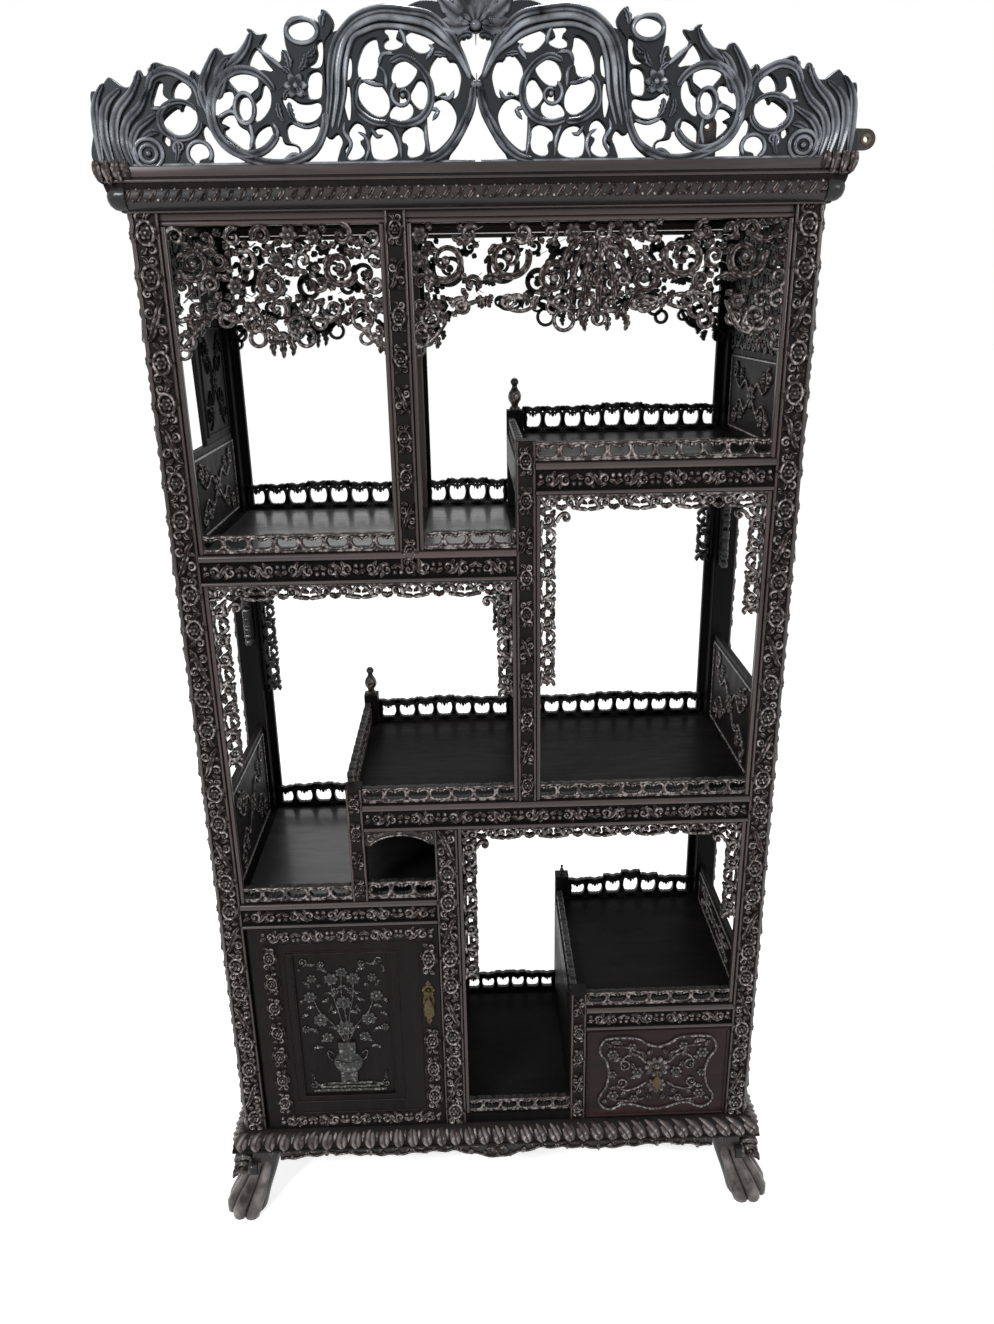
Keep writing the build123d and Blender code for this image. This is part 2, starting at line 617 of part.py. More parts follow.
# Cornice and top board
fascia_low = CORNICE_TOP - FASCIA_H
fascia = Pos((MOULDING_REACH - RING_W) / 2, -CORNICE_TOP + FASCIA_H / 2) * Rectangle(
    MOULDING_REACH + RING_W, FASCIA_H
)
cornice_profile = ogee(POST_HEIGHT, fascia_low, POST_EDGE, MOULDING_REACH - POST_EDGE) + fascia
cornice_back = block(-HALF + RING_W, HALF - RING_W, DEPTH - RING_W, DEPTH, POST_HEIGHT, CORNICE_TOP)
nodes["cornice"] = group(ring(cornice_profile), cornice_back)
nodes["top_board"] = block(
    -HALF + RING_W, HALF - RING_W, RING_W, DEPTH - RING_W, CORNICE_TOP - BOARD_T, CORNICE_TOP
)


# Cresting: scrolls drawn for the right half, heights above the cornice
def band(start, crown, end, width=CREST_BAND):
    """Curved band through three points."""
    return trace(ThreePointArc(start, crown, end), width)


def volute(x, z, radius, width=CREST_BAND):
    """Ring with a small eye joined to it by a curl."""
    outer = Pos(x, z) * (Circle(radius) - Circle(radius - width))
    eye = Pos(x, z) * Circle(radius * 0.28)
    curl = band((x, z), (x + radius * 0.45, z + radius * 0.35), (x, z + radius - width / 2), width * 0.7)
    return outer + eye + curl


def leaf(x, z, length, width, angle):
    """Pointed leaf that grows from a point."""
    tip = (length, 0)
    belly = length * 0.4
    upper = ThreePointArc((0, 0), (belly, width / 2), tip)
    lower = ThreePointArc(tip, (belly, -width / 2), (0, 0))
    return Pos(x, z) * Rot(0, 0, angle) * make_face([upper, lower])


def at(across, up):
    """Point of the cresting as shares of its half width and of its height."""
    return across * CREST_HALF, up * CREST_H


END_X = 0.84
SMALL_SCROLL = 0.79, 0.40
SMALL_SCROLL_R = 0.088 * CREST_HALF
RING_SCROLL = 0.616, 0.39
RING_SCROLL_R = 0.112 * CREST_HALF
BIG_SCROLL = 0.198, 0.556
BIG_SCROLL_R = 0.132 * CREST_HALF
FLOWER = 0.44, 0.578


def crest_face():
    """Right half of the cresting."""
    low = SHELL_STEM / 2
    rail = Pos((low + CREST_HALF) / 2, CREST_RAIL_H / 2) * Rectangle(CREST_HALF - low, CREST_RAIL_H)
    corner_leaf = make_face([
        Polyline(at(END_X, 0), at(1, 0), at(1, 0.5), at(0.957, 0.6)),
        ThreePointArc(at(0.957, 0.6), at(0.90, 0.455), at(END_X, 0.278)),
        Line(at(END_X, 0.278), at(END_X, 0)),
    ])
    leaf_long = 0.12 * CREST_HALF
    leaf_wide = 0.05 * CREST_HALF
    parts = [
        corner_leaf,
        volute(*at(*SMALL_SCROLL), SMALL_SCROLL_R),
        volute(*at(*RING_SCROLL), RING_SCROLL_R),
        leaf(*at(0.66, 0.556), leaf_long * 0.8, leaf_wide, 55),
        leaf(*at(0.60, 0.65), leaf_long * 0.7, leaf_wide * 0.7, 70),
        band(at(0.50, 0.055), at(0.46, 0.278), at(0.44, 0.5)),
        Pos(*at(*FLOWER)) * Ellipse(leaf_wide, leaf_wide * 1.2),
        leaf(*at(0.43, 0.69), leaf_long, leaf_wide * 1.2, 95),
        leaf(*at(0.46, 0.333), leaf_long * 0.8, leaf_wide, 20),
        band(at(0.42, 0.078), at(0.385, 0.528), at(0.30, 0.944)),
        band(at(0.30, 0.944), at(0.15, 0.956), at(0.06, 0.583)),
        volute(*at(*BIG_SCROLL), BIG_SCROLL_R),
        band(at(0.06, 0.583), at(0.07, 0.278), at(0.12, 0.067)),
        band(at(0.30, 0.278), at(0.34, 0.222), at(0.36, 0.055)),
        leaf(*at(0.12, 0.078), leaf_long, leaf_wide, 40),
        band(at(0.03, 0.511), at(0.045, 0.544), at(0.07, 0.533)),
    ]
    for part in parts:
        rail = rail + part
    return rail


crest = Pos(0, 0, CORNICE_TOP) * front_sheet(crest_face(), -CREST_T, 0)
nodes["cresting_right"] = crest
nodes["cresting_left"] = side_twin(crest)

shell_face = Pos(0, SHELL_RISE / 2) * Rectangle(SHELL_STEM, SHELL_RISE)
for angle in (30, 60, 90, 120, 150):
    shell_face = shell_face + leaf(0, SHELL_RISE - SHELL_STEM / 2, SHELL_LOBE, SHELL_LOBE / 2, angle)
shell_face = shell_face + Pos(0, SHELL_RISE) * Circle(SHELL_STEM)
nodes["crest_shell"] = Pos(0, 0, CORNICE_TOP) * front_sheet(shell_face, -CREST_T, 0)

# Wall plates behind the cresting, with brass eyelets; the inner one shows through the ring scroll
EYE_X = CREST_HALF + EYE_REACH
SECOND_EYE_X = RING_SCROLL[0] * CREST_HALF
eye_hole = Circle(EYELET_R + EYELET_WALL + EYELET_FIT)
end_plate = Pos(0, CORNICE_TOP + EYE_Z) * (
    make_face(Polyline((CREST_HALF - PLATE_H, -PLATE_H / 2), (EYE_X, -EYE_R), (EYE_X, EYE_R),
                       (CREST_HALF - PLATE_H, PLATE_H / 2), (CREST_HALF - PLATE_H, -PLATE_H / 2)))
    + Pos(EYE_X, 0) * Circle(EYE_R)
    - Pos(EYE_X, 0) * eye_hole
)
second_plate = Pos(SECOND_EYE_X, CORNICE_TOP) * (
    Pos(0, SECOND_EYE_Z / 2) * Rectangle(EYE_R * 2, SECOND_EYE_Z)
    + Pos(0, SECOND_EYE_Z) * Circle(EYE_R)
    - Pos(0, SECOND_EYE_Z) * eye_hole
)
nodes["wall_plates"] = group(front_sheet(end_plate, 0, PLATE_T), front_sheet(second_plate, 0, PLATE_T))
eyelet_ring = Circle(EYELET_R + EYELET_WALL) - Circle(EYELET_R)
eyelet_y = -EYELET_PROUD, PLATE_T + EYELET_PROUD
nodes["eyelets"] = group(
    front_sheet(Pos(EYE_X, CORNICE_TOP + EYE_Z) * eyelet_ring, *eyelet_y),
    front_sheet(Pos(SECOND_EYE_X, CORNICE_TOP + SECOND_EYE_Z) * eyelet_ring, *eyelet_y),
)


# Hanging pulls: plate with ears and pin, and the drop that swings on it
def pull_plate(x, z):
    """Round plate with two ears that carry a level pin."""
    pin_y = -PULL_PLATE_T - PULL_REACH
    plate = Pos(x, -PULL_PLATE_T / 2, z) * Rot(90, 0, 0) * Cylinder(PULL_PLATE_R, PULL_PLATE_T)
    ear_in = PULL_EYE_W / 2 + PULL_SIDE_FIT
    for side in (-1, 1):
        near, far = sorted((side * ear_in, side * (ear_in + PULL_EAR_T)))
        ear_z = z - PULL_PIN_R * 2, z + PULL_PIN_R * 2
        plate = plate + block(x + near, x + far, pin_y - PULL_PIN_R, -PULL_PLATE_T, *ear_z)
    pin = Pos(x, pin_y, z) * Rot(0, 90, 0) * Cylinder(PULL_PIN_R, 2 * (ear_in + PULL_EAR_T))
    return plate + pin


def pull_drop(x, z, height):
    """Leaf-shaped drop with an eye round the pin."""
    pin_y = -PULL_PLATE_T - PULL_REACH
    shoulder = height * 0.35
    outline = [
        Polyline((-PULL_EYE_W / 2, 0), (-PULL_EYE_W / 2, -shoulder * 0.6)),
        ThreePointArc((-PULL_EYE_W / 2, -shoulder * 0.6), (-PULL_DROP_W / 2, -height * 0.65), (0, -height)),
        ThreePointArc((0, -height), (PULL_DROP_W / 2, -height * 0.65), (PULL_EYE_W / 2, -shoulder * 0.6)),
        Polyline((PULL_EYE_W / 2, -shoulder * 0.6), (PULL_EYE_W / 2, 0), (-PULL_EYE_W / 2, 0)),
    ]
    body = Pos(x, 0, z) * front_sheet(make_face(outline), pin_y - PULL_DROP_T / 2, pin_y + PULL_DROP_T / 2)
    eye = Pos(x, pin_y, z) * Rot(0, 90, 0) * Cylinder(PULL_EYE_R, PULL_EYE_W)
    bore = Pos(x, pin_y, z) * Rot(0, 90, 0) * Cylinder(PULL_PIN_R + PULL_PIN_FIT, PULL_EYE_W * 2)
    return body + eye - bore


# Door on pivots, hinge stile rounded about the pivot axis
DOOR_X0 = IN_LEFT + DOOR_SIDE_GAP
DOOR_X1 = DIVIDER_LEFT - DOOR_SIDE_GAP
DOOR_Z0 = DOOR_END_GAP
DOOR_Z1 = DOOR_OPENING_TOP - DOOR_END_GAP
window_x0 = DOOR_X0 + DOOR_STILE_LEFT
window_x1 = DOOR_X1 - DOOR_STILE_RIGHT
window_z0 = DOOR_Z0 + DOOR_RAIL_BOTTOM
window_z1 = DOOR_Z1 - DOOR_RAIL_TOP
hinge_round = Pos(PIVOT_X, PIVOT_Y, (DOOR_Z0 + DOOR_Z1) / 2) * Cylinder(DOOR_T / 2, DOOR_Z1 - DOOR_Z0)
hinge_stile = block(PIVOT_X, window_x0, 0, DOOR_T, DOOR_Z0, DOOR_Z1) + hinge_round
nodes["door_frame"] = group(
    hinge_stile,
    block(window_x1, DOOR_X1, 0, DOOR_T, DOOR_Z0, DOOR_Z1),
    block(window_x0, window_x1, 0, DOOR_T, DOOR_Z0, window_z0),
    block(window_x0, window_x1, 0, DOOR_T, window_z1, DOOR_Z1),
)
panel_y0 = (DOOR_T - DOOR_PANEL_T) / 2
nodes["door_panel"] = block(window_x0, window_x1, panel_y0, panel_y0 + DOOR_PANEL_T, window_z0, window_z1)
pin_length = PIVOT_LENGTH - DOOR_END_GAP + DOOR_END_GAP / 2
pivot = Cylinder(PIVOT_R, pin_length, align=(Align.CENTER, Align.CENTER, Align.MIN))
nodes["door_pivots"] = group(
    Pos(PIVOT_X, PIVOT_Y, DOOR_Z1) * pivot,
    Pos(PIVOT_X, PIVOT_Y, DOOR_Z0 - pin_length) * pivot,
)
nodes["door_pull_plate"] = pull_plate(DOOR_PULL_X, DOOR_PULL_Z)
nodes["door_pull_drop"] = pull_drop(DOOR_PULL_X, DOOR_PULL_Z, DOOR_DROP_H)

# Drawer
DRAWER_X0 = DRAWER_POST_RIGHT + DRAWER_GAP
DRAWER_X1 = IN_RIGHT - DRAWER_GAP
DRAWER_Z0 = DOOR_END_GAP
DRAWER_Z1 = DRAWER_CASE_TOP - DOOR_END_GAP
box_x0 = DRAWER_X0 + DRAWER_INSET
box_x1 = DRAWER_X1 - DRAWER_INSET
box_z0 = RUNNER_H + RUNNER_FIT
box_z1 = box_z0 + DRAWER_SIDE_H
drawer_back = BACK_IN - DRAWER_BACK_GAP
nodes["drawer_front"] = block(DRAWER_X0, DRAWER_X1, 0, DRAWER_FRONT_T, DRAWER_Z0, DRAWER_Z1)
inner_x = box_x0 + DRAWER_SIDE_T, box_x1 - DRAWER_SIDE_T
inner_y = DRAWER_FRONT_T, drawer_back - DRAWER_SIDE_T
nodes["drawer_box"] = group(
    block(box_x0, inner_x[0], DRAWER_FRONT_T, drawer_back, box_z0, box_z1),
    block(inner_x[1], box_x1, DRAWER_FRONT_T, drawer_back, box_z0, box_z1),
    block(*inner_x, inner_y[1], drawer_back, box_z0, box_z1),
    block(*inner_x, *inner_y, box_z0, box_z0 + DRAWER_BOTTOM_T),
)
DRAWER_PULL_X = (DRAWER_X0 + DRAWER_X1) / 2
nodes["drawer_pull_plate"] = pull_plate(DRAWER_PULL_X, DRAWER_PULL_Z)
nodes["drawer_pull_drop"] = pull_drop(DRAWER_PULL_X, DRAWER_PULL_Z, DRAWER_DROP_H)

for name, piece in nodes.items():
    export_step(Pos(0, -Y_MID, LEG_HEIGHT) * piece, f"parts/{name}.step")
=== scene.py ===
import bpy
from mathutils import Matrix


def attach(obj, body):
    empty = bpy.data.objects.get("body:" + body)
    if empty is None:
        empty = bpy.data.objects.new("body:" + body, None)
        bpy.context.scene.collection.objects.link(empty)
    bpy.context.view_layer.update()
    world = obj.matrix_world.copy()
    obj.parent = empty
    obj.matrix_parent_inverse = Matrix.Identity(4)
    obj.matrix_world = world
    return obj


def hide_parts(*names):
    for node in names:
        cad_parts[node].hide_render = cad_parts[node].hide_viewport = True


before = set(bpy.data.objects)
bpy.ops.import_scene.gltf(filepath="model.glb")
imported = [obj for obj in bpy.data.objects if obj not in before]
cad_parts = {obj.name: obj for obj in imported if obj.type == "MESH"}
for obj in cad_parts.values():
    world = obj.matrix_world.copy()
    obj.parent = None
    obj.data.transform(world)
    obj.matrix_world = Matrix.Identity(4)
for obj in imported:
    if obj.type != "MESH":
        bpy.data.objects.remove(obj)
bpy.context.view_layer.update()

import math
import random

import bpy
import numpy as np
from mathutils import Matrix, Vector
from mathutils.geometry import delaunay_2d_cdt

# Lengths are in millimetres, measured from the front face of the posts (y = 0) and from the
# top of the base moulding (z = 0). make_piece moves them to metres above the floor.
FLOOR = -178.0
SHIFT = np.array([0.0, -167.0, -FLOOR])

HALF = 475.0
DEPTH = 372.0
POST_D = 40.0
IN_LEFT, IN_RIGHT = -437.0, 437.0
MID_POST = (-131.0, -101.0)
CENTRE_POST = (47.0, 77.0)
SHORT_POST = (-242.0, -215.0)
DIVIDER = (-97.0, -58.0)
DRAWER_POST = (140.0, 168.0)
NICHE_TOP, DRAWER_TOP, CUPBOARD_TOP = 20.0, 257.0, 497.0
MIDDLE_TOP, UPPER_LEFT_TOP, UPPER_RIGHT_TOP = 683.0, 1116.0, 1247.0
POST_TOP = 1595.0
RAIL_H, TOP_BEAD, LOW_BEAD = 50.0, 13.0, 8.0
RAIL_X = 463.0
GALLERY_H, BACK_GALLERY_H = 31.0, 50.0
FRET_FRONT, FRET_BACK = 8.0, DEPTH - 8.0
HEAD_H, VALANCE_H = 20.0, 190.0
STRIP_W, TOP_STRIP_H = 34.0, 31.0
LONG_STRIP, SHORT_STRIP = 312.0, 198.0
SIDE_X, PANEL_X, PANEL_INNER_X = 450.0, 455.0, 445.0
# The base moulding's swelling face: its lowest and highest points, and how far they reach out
BASE_LOW, BASE_HIGH = -24.0, -3.5
BASE_FOOT, BASE_HEAD = 25.0, 4.5
APRON_TOP, APRON_X = -32.0, 479.0
FOOT_TOP, FOOT_H = -32.0, 146.0
DOOR_X, DOOR_Z = (-436.0, -98.0), (2.0, 445.0)
DOOR_BAND = 33.0
PULL_GAP = (226.0, 336.0)
DRAWER_X, DRAWER_Z = (173.0, 432.0), (6.0, 201.0)

# Pitch at which each motif is drawn; a run of them is stretched from it to fit
POST_PITCH, RAIL_PITCH, HEART_PITCH, RUNNING_PITCH = 58.0, 62.0, 36.0, 44.0

# ---------------------------------------------------------------- carver's marks

ROUND = [(-1, 0), (-0.86, 0.5), (-0.5, 0.87), (0, 1), (0.5, 0.87), (0.86, 0.5), (1, 0)]
FLUTED = [(-1, 0), (-0.9, 0.75), (-0.62, 1), (-0.3, 0.7), (0, 0.5), (0.3, 0.7), (0.62, 1), (0.9, 0.75),
          (1, 0)]
VEINED = [(-1, 0), (-0.78, 0.55), (-0.4, 0.95), (0, 0.45), (0.4, 0.95), (0.78, 0.55), (1, 0)]
SQUARE = [(-1, 0), (-0.94, 0.85), (-0.8, 1), (0.8, 1), (0.94, 0.85), (1, 0)]
FLAT = np.eye(3)


def smooth(knots, step, closed=False):
    """Evenly spaced points of a flowing line through the knots."""
    knots = np.array([tuple(k) + (0.0,) * (3 - len(k)) for k in knots], float)
    if len(knots) == 2:
        return knots
    if closed:
        ends = np.vstack([knots[-1], knots, knots[0], knots[1]])
    else:
        ends = np.vstack([2 * knots[0] - knots[1], knots, 2 * knots[-1] - knots[-2]])
    fine = []
    for a, b, c, d in zip(ends, ends[1:], ends[2:], ends[3:]):
        t = np.linspace(0, 1, 9)[:-1, None]
        fine.append(0.5 * (2 * b + (c - a) * t + (2 * a - 5 * b + 4 * c - d) * t ** 2
                           + (3 * b - a - 3 * c + d) * t ** 3))
    fine = np.vstack(fine + [knots[:1] if closed else knots[-1:]])
    run = np.concatenate([[0], np.cumsum(np.linalg.norm(np.diff(fine, axis=0), axis=1))])
    marks = np.linspace(0, run[-1], max(5, int(run[-1] / step) + 1))
    return np.stack([np.interp(marks, run, fine[:, axis]) for axis in range(3)], axis=1)


def circle(u, v, radius, tall=None, count=12, start=0.0, turn=360.0):
    """Knots round an oval or along a part of it."""
    tall = radius if tall is None else tall
    full = abs(turn) >= 360
    angles = np.radians(start + np.linspace(0, turn, count, endpoint=not full))
    return [(u + radius * math.cos(a), v + tall * math.sin(a)) for a in angles]


def spiral(u, v, outer, inner, start, turns):
    """Knots of a curl that winds inwards; a negative turn winds clockwise."""
    share = np.linspace(0, 1, max(6, int(abs(turns) * 10)))
    angles = np.radians(start) + share * turns * 2 * math.pi
    radii = outer + (inner - outer) * share ** 0.85
    return [(u + r * math.cos(a), v + r * math.sin(a)) for r, a in zip(radii, angles)]


def turned(line, opening=False):
    """The closed line running anticlockwise, or clockwise round an opening."""
    after = np.roll(line, -1, axis=0)
    area = np.sum(line[:, 0] * after[:, 1] - after[:, 0] * line[:, 1])
    return line[::-1] if (area > 0) == opening else line


def filled(loops):
    """Triangles, turned anticlockwise, that fill an outline and leave its openings free."""
    flat = np.vstack(loops)
    starts = np.cumsum([0] + [len(loop) for loop in loops])
    edges = [(int(a + k), int(a + (k + 1) % (b - a))) for a, b in zip(starts, starts[1:])
             for k in range(b - a)]
    found = delaunay_2d_cdt([Vector(point) for point in flat], edges, [], 0, 1e-5)
    nearest = [int(np.argmin(np.abs(flat - np.array(point)).sum(axis=1))) for point in found[0]]
    faces = np.array([[nearest[corner] for corner in face] for face in found[2]], int)
    middle = flat[faces].mean(axis=1)
    crossings = np.zeros(len(middle), int)
    for a, b in edges:
        (x0, y0), (x1, y1) = flat[a], flat[b]
        if y0 != y1:
            beside = (y0 > middle[:, 1]) != (y1 > middle[:, 1])
            crossings += beside & (middle[:, 0] < x0 + (middle[:, 1] - y0) * (x1 - x0) / (y1 - y0))
    faces = faces[crossings % 2 == 1]
    first, second = flat[faces[:, 1]] - flat[faces[:, 0]], flat[faces[:, 2]] - flat[faces[:, 0]]
    wrong = first[:, 0] * second[:, 1] < first[:, 1] * second[:, 0]
    faces[wrong] = faces[wrong][:, ::-1]
    return faces


def rings(rows, around):
    """Faces between rows of points that run round a shape."""
    k = np.arange(around)
    after = (k + 1) % around
    band = np.stack([k, after, after + around, k + around], axis=1)
    return np.vstack([band + row * around for row in range(rows - 1)])


def fan(first, around, backwards=False):
    """Triangles that close a row of points from its first point."""
    k = first + np.arange(1, around - 1)
    pair = (k + 1, k) if backwards else (k, k + 1)
    return np.stack([np.full(around - 2, first), *pair], axis=1)


class Carving:
    """Carved work: points, faces and how proud each point stands (0 to 1)."""

    def __init__(self, back=1.5, lift=0.0):
        self.back = back
        self.lift = lift
        self.points, self.relief, self.quads, self.tris = [], [], [], []
        self.total = 0

    def add(self, points, relief, quads=None, tris=None):
        self.points.append(np.asarray(points, float) + (0.0, 0.0, self.lift))
        self.relief.append(np.asarray(relief, float))
        if quads is not None:
            self.quads.append(np.asarray(quads, int) + self.total)
        if tris is not None:
            self.tris.append(np.asarray(tris, int) + self.total)
        self.total += len(points)

    def strap(self, knots, width, rise, section=ROUND, closed=False, lobes=0, bite=0.0, step=4.0,
              blunt=False):
        """Swept ribbon: a stem, scroll, bead or leaf blade."""
        if lobes:
            rough = smooth(knots, step, closed)
            length = np.linalg.norm(np.diff(rough, axis=0), axis=1).sum()
            step = min(step, length / (lobes * 4))
        route = smooth(knots, step, closed)
        if closed:
            route = route[:-1]
        n, m = len(route), len(section) + 2
        tangent = (np.roll(route, -1, 0) - np.roll(route, 1, 0)) if closed else np.gradient(route, axis=0)
        tangent /= np.maximum(np.linalg.norm(tangent, axis=1), 1e-9)[:, None]
        side = np.cross((0.0, 0.0, 1.0), tangent)
        side /= np.maximum(np.linalg.norm(side, axis=1), 1e-9)[:, None]
        up = np.cross(tangent, side)
        t = np.linspace(0, 1, n)
        width, rise = np.atleast_1d(width), np.atleast_1d(rise)
        half = np.interp(t, np.linspace(0, 1, len(width)), width) / 2
        high = np.interp(t, np.linspace(0, 1, len(rise)), rise)
        if lobes:
            wave = np.abs(np.sin(math.pi * lobes * t))
            half *= 1 - bite * (1 - wave)
            high *= 1 - 0.4 * bite * (1 - wave)
        if not closed and not blunt:
            run = np.concatenate([[0], np.cumsum(np.linalg.norm(np.diff(route, axis=0), axis=1))])
            near = np.minimum(run, run[-1] - run)
            share = np.clip(near / np.maximum(half, 0.5), 0, 1)
            taper = np.maximum(np.sqrt(1 - (1 - share) ** 2), 0.12)
            half *= taper
            high *= 0.4 + 0.6 * taper
        cut = np.array(section, float)
        front = (route[:, None] + side[:, None] * (half[:, None] * cut[None, :, 0])[..., None]
                 + up[:, None] * (high[:, None] * cut[None, :, 1])[..., None])
        under = np.array([0.9, -0.9])
        rear = (route[:, None] + side[:, None] * (half[:, None] * under[None])[..., None]
                - np.array([0, 0, self.back]))
        points = np.concatenate([front, rear], axis=1).reshape(-1, 3)
        relief = np.concatenate([np.repeat(cut[None, :, 1], n, 0), np.zeros((n, 2))], axis=1).ravel()
        i, k = np.meshgrid(np.arange(n if closed else n - 1), np.arange(m), indexing="ij")
        i, k = i.ravel(), k.ravel()
        j, l = (i + 1) % n, (k + 1) % m
        quads = np.stack([i * m + k, j * m + k, j * m + l, i * m + l], axis=1)
        tris = None if closed else np.vstack([fan(0, m), fan((n - 1) * m, m, backwards=True)])
        self.add(points, relief, quads, tris)

    def bead(self, start, end, width, rise, section=ROUND):
        """Straight strap with square ends."""
        self.strap([start, end], width, rise, section, blunt=True)

    def ring(self, knots, width, rise, step=3.0):
        """Strap that closes on itself."""
        self.strap(knots, width, rise, closed=True, step=step)

    def border(self, u0, u1, v0, v1, width, rise, blunt=True):
        """Four straight straps round a rectangle."""
        rim = [(u0, v0), (u1, v0), (u1, v1), (u0, v1)]
        for a, b in zip(rim, rim[1:] + rim[:1]):
            self.strap([a, b], width, rise, blunt=blunt)

    def add_domed(self, points, relief, tip, proud):
        """Adds rows of points that close under their first row and over a tip."""
        around, top = len(points[0]), len(points) * len(points[0])
        k = np.arange(around)
        cap = np.stack([top - around + k, top - around + (k + 1) % around, np.full(around, top)], axis=1)
        self.add(np.vstack(points + [tip]), np.append(np.concatenate(relief), proud),
                 rings(len(points), around), np.vstack([cap, fan(0, around, backwards=True)]))

    def dome(self, u, v, wide, tall, rise, w=0.0, around=10):
        """Rounded boss or berry."""
        a = np.linspace(0, 2 * math.pi, around, endpoint=False)
        rows = [(1.0, -self.back, 0.0), (1.0, 0.0, 0.1)]
        rows += [(math.cos(p), rise * math.sin(p), math.sin(p)) for p in (0.45, 0.85, 1.2)]
        points, relief = [], []
        for share, height, proud in rows:
            x, y = wide / 2 * share * np.cos(a), tall / 2 * share * np.sin(a)
            points.append(np.stack([u + x, v + y, np.full(around, w + height)], 1))
            relief.append(np.full(around, proud))
        self.add_domed(points, relief, (u, v, w + rise), 1.0)

    def blossom(self, u, v, radius, rise, petals=6, w=0.0):
        """Open flower with a domed heart."""
        a = np.linspace(0, 2 * math.pi, petals * 6, endpoint=False)
        lobe = np.abs(np.cos(petals * a / 2))
        rows = [(1.0, -self.back, 0.0), (1.0, 0.0, 0.0), (0.93, 0.62, 0.5), (0.72, 0.95, 1.0),
                (0.45, 0.6, 0.4), (0.3, 0.35, 0.0)]
        points, relief = [], []
        for share, height, proud in rows:
            r = radius * share * (1 - 0.28 * share * (1 - lobe))
            lift = rise * height * (0.55 + 0.45 * lobe) if height >= 0 else np.full(len(a), height)
            points.append(np.stack([u + r * np.cos(a), v + r * np.sin(a), w + lift], 1))
            relief.append(np.full(len(a), proud) * (0.6 + 0.4 * lobe))
        self.add_domed(points, relief, (u, v, w + rise * 0.35), 0.0)
        self.dome(u, v, radius * 0.55, radius * 0.55, rise * 0.95, w=w)

    def leaf(self, start, tip, width, rise, bend=0.0, lobes=4, bite=0.35, section=VEINED):
        """Leaf blade from its stalk to its tip, bowed to one side."""
        start, tip = np.array(start, float)[:2], np.array(tip, float)[:2]
        along = tip - start
        bow = np.array([-along[1], along[0]]) * bend
        knots = [start, start + along * 0.35 + bow * 0.8, start + along * 0.7 + bow * 0.75, tip]
        widths = (width * 0.45, width, width * 0.85, width * 0.2)
        self.strap(knots, widths, (rise * 0.7, rise, rise, rise * 0.6), section, lobes=lobes, bite=bite,
                   step=3.0)

    def curl(self, u, v, outer, inner, start, turns, width, rise, section=ROUND, step=3.0):
        """Scroll that winds in to a round eye."""
        knots = spiral(u, v, outer, inner, start, turns)
        self.strap(knots, (width, width * 0.9, width * 0.55), rise, section, step=step)
        self.dome(u, v, inner * 1.7, inner * 1.7, rise * 1.15, around=8)

    def plate(self, outline, low, high, proud=0.15):
        """Flat sawn piece with the given outline."""
        outline = turned(np.array(outline, float))
        n = len(outline)
        points = np.vstack([np.c_[outline, np.full(n, low)], np.c_[outline, np.full(n, high)]])
        faces = filled([outline])
        self.add(points, np.r_[np.zeros(n), np.full(n, proud)], rings(2, n),
                 np.vstack([faces[:, ::-1], faces + n]))

    def sheet(self, outline, openings, low, high, ease=1.4, swell=2.2, step=4.0):
        """Sawn sheet with openings; its front edges are eased all round."""
        loops, insets = [], []
        for knots in [outline] + openings:
            line = turned(smooth(knots, step, closed=True)[:-1, :2], knots is not outline)
            run = np.roll(line, -1, 0) - np.roll(line, 1, 0)
            run /= np.maximum(np.linalg.norm(run, axis=1), 1e-9)[:, None]
            loops.append(line)
            insets.append(line + ease * np.c_[-run[:, 1], run[:, 0]])
        total = sum(len(line) for line in loops)
        flat, inner = np.vstack(loops), np.vstack(insets)
        points = np.vstack([np.c_[flat, np.full(total, low)], np.c_[flat, np.full(total, high)],
                            np.c_[inner, np.full(total, high + swell)]])
        quads, begin = [], 0
        for line in loops:
            k = np.arange(len(line))
            after = (k + 1) % len(line)
            for layer in (0, total):
                quads.append(np.stack([k, after, after + total, k + total], axis=1) + begin + layer)
            begin += len(line)
        faces = filled(loops)
        relief = np.r_[np.zeros(total), np.full(total, 0.35), np.full(total, 0.12)]
        self.add(points, relief, np.vstack(quads), np.vstack([faces[:, ::-1], faces + 2 * total]))

    def bar(self, u0, u1, v0, v1, low, high, ease, proud=0.5):
        """Straight bar with eased front edges."""
        points = []
        for inset, w in ((0, low), (0, high - ease), (ease, high)):
            left, right, foot, head = u0 + inset, u1 - inset, v0 + inset, v1 - inset
            points += [(left, foot, w), (right, foot, w), (right, head, w), (left, head, w)]
        self.add(points, [0.0] * 4 + [proud] * 8, np.vstack([[(3, 2, 1, 0), (8, 9, 10, 11)], rings(3, 4)]))

    def stamp(self, other, matrix=FLAT, origin=(0.0, 0.0, 0.0)):
        """Sets a copy of other carved work into this one."""
        points = np.vstack(other.points) @ matrix.T + np.array(origin, float)
        order = slice(None, None, -1 if np.linalg.det(matrix) < 0 else 1)
        quads = np.vstack(other.quads)[:, order] if other.quads else None
        tris = np.vstack(other.tris)[:, order] if other.tris else None
        self.add(points, np.concatenate(other.relief), quads, tris)

    def set_in(self, motif, u, v, wide, tall):
        """Stamps a motif in this work's own plane; a negative stretch mirrors it."""
        self.stamp(motif, np.diag([wide, tall, 1.0]), (u, v, 0))


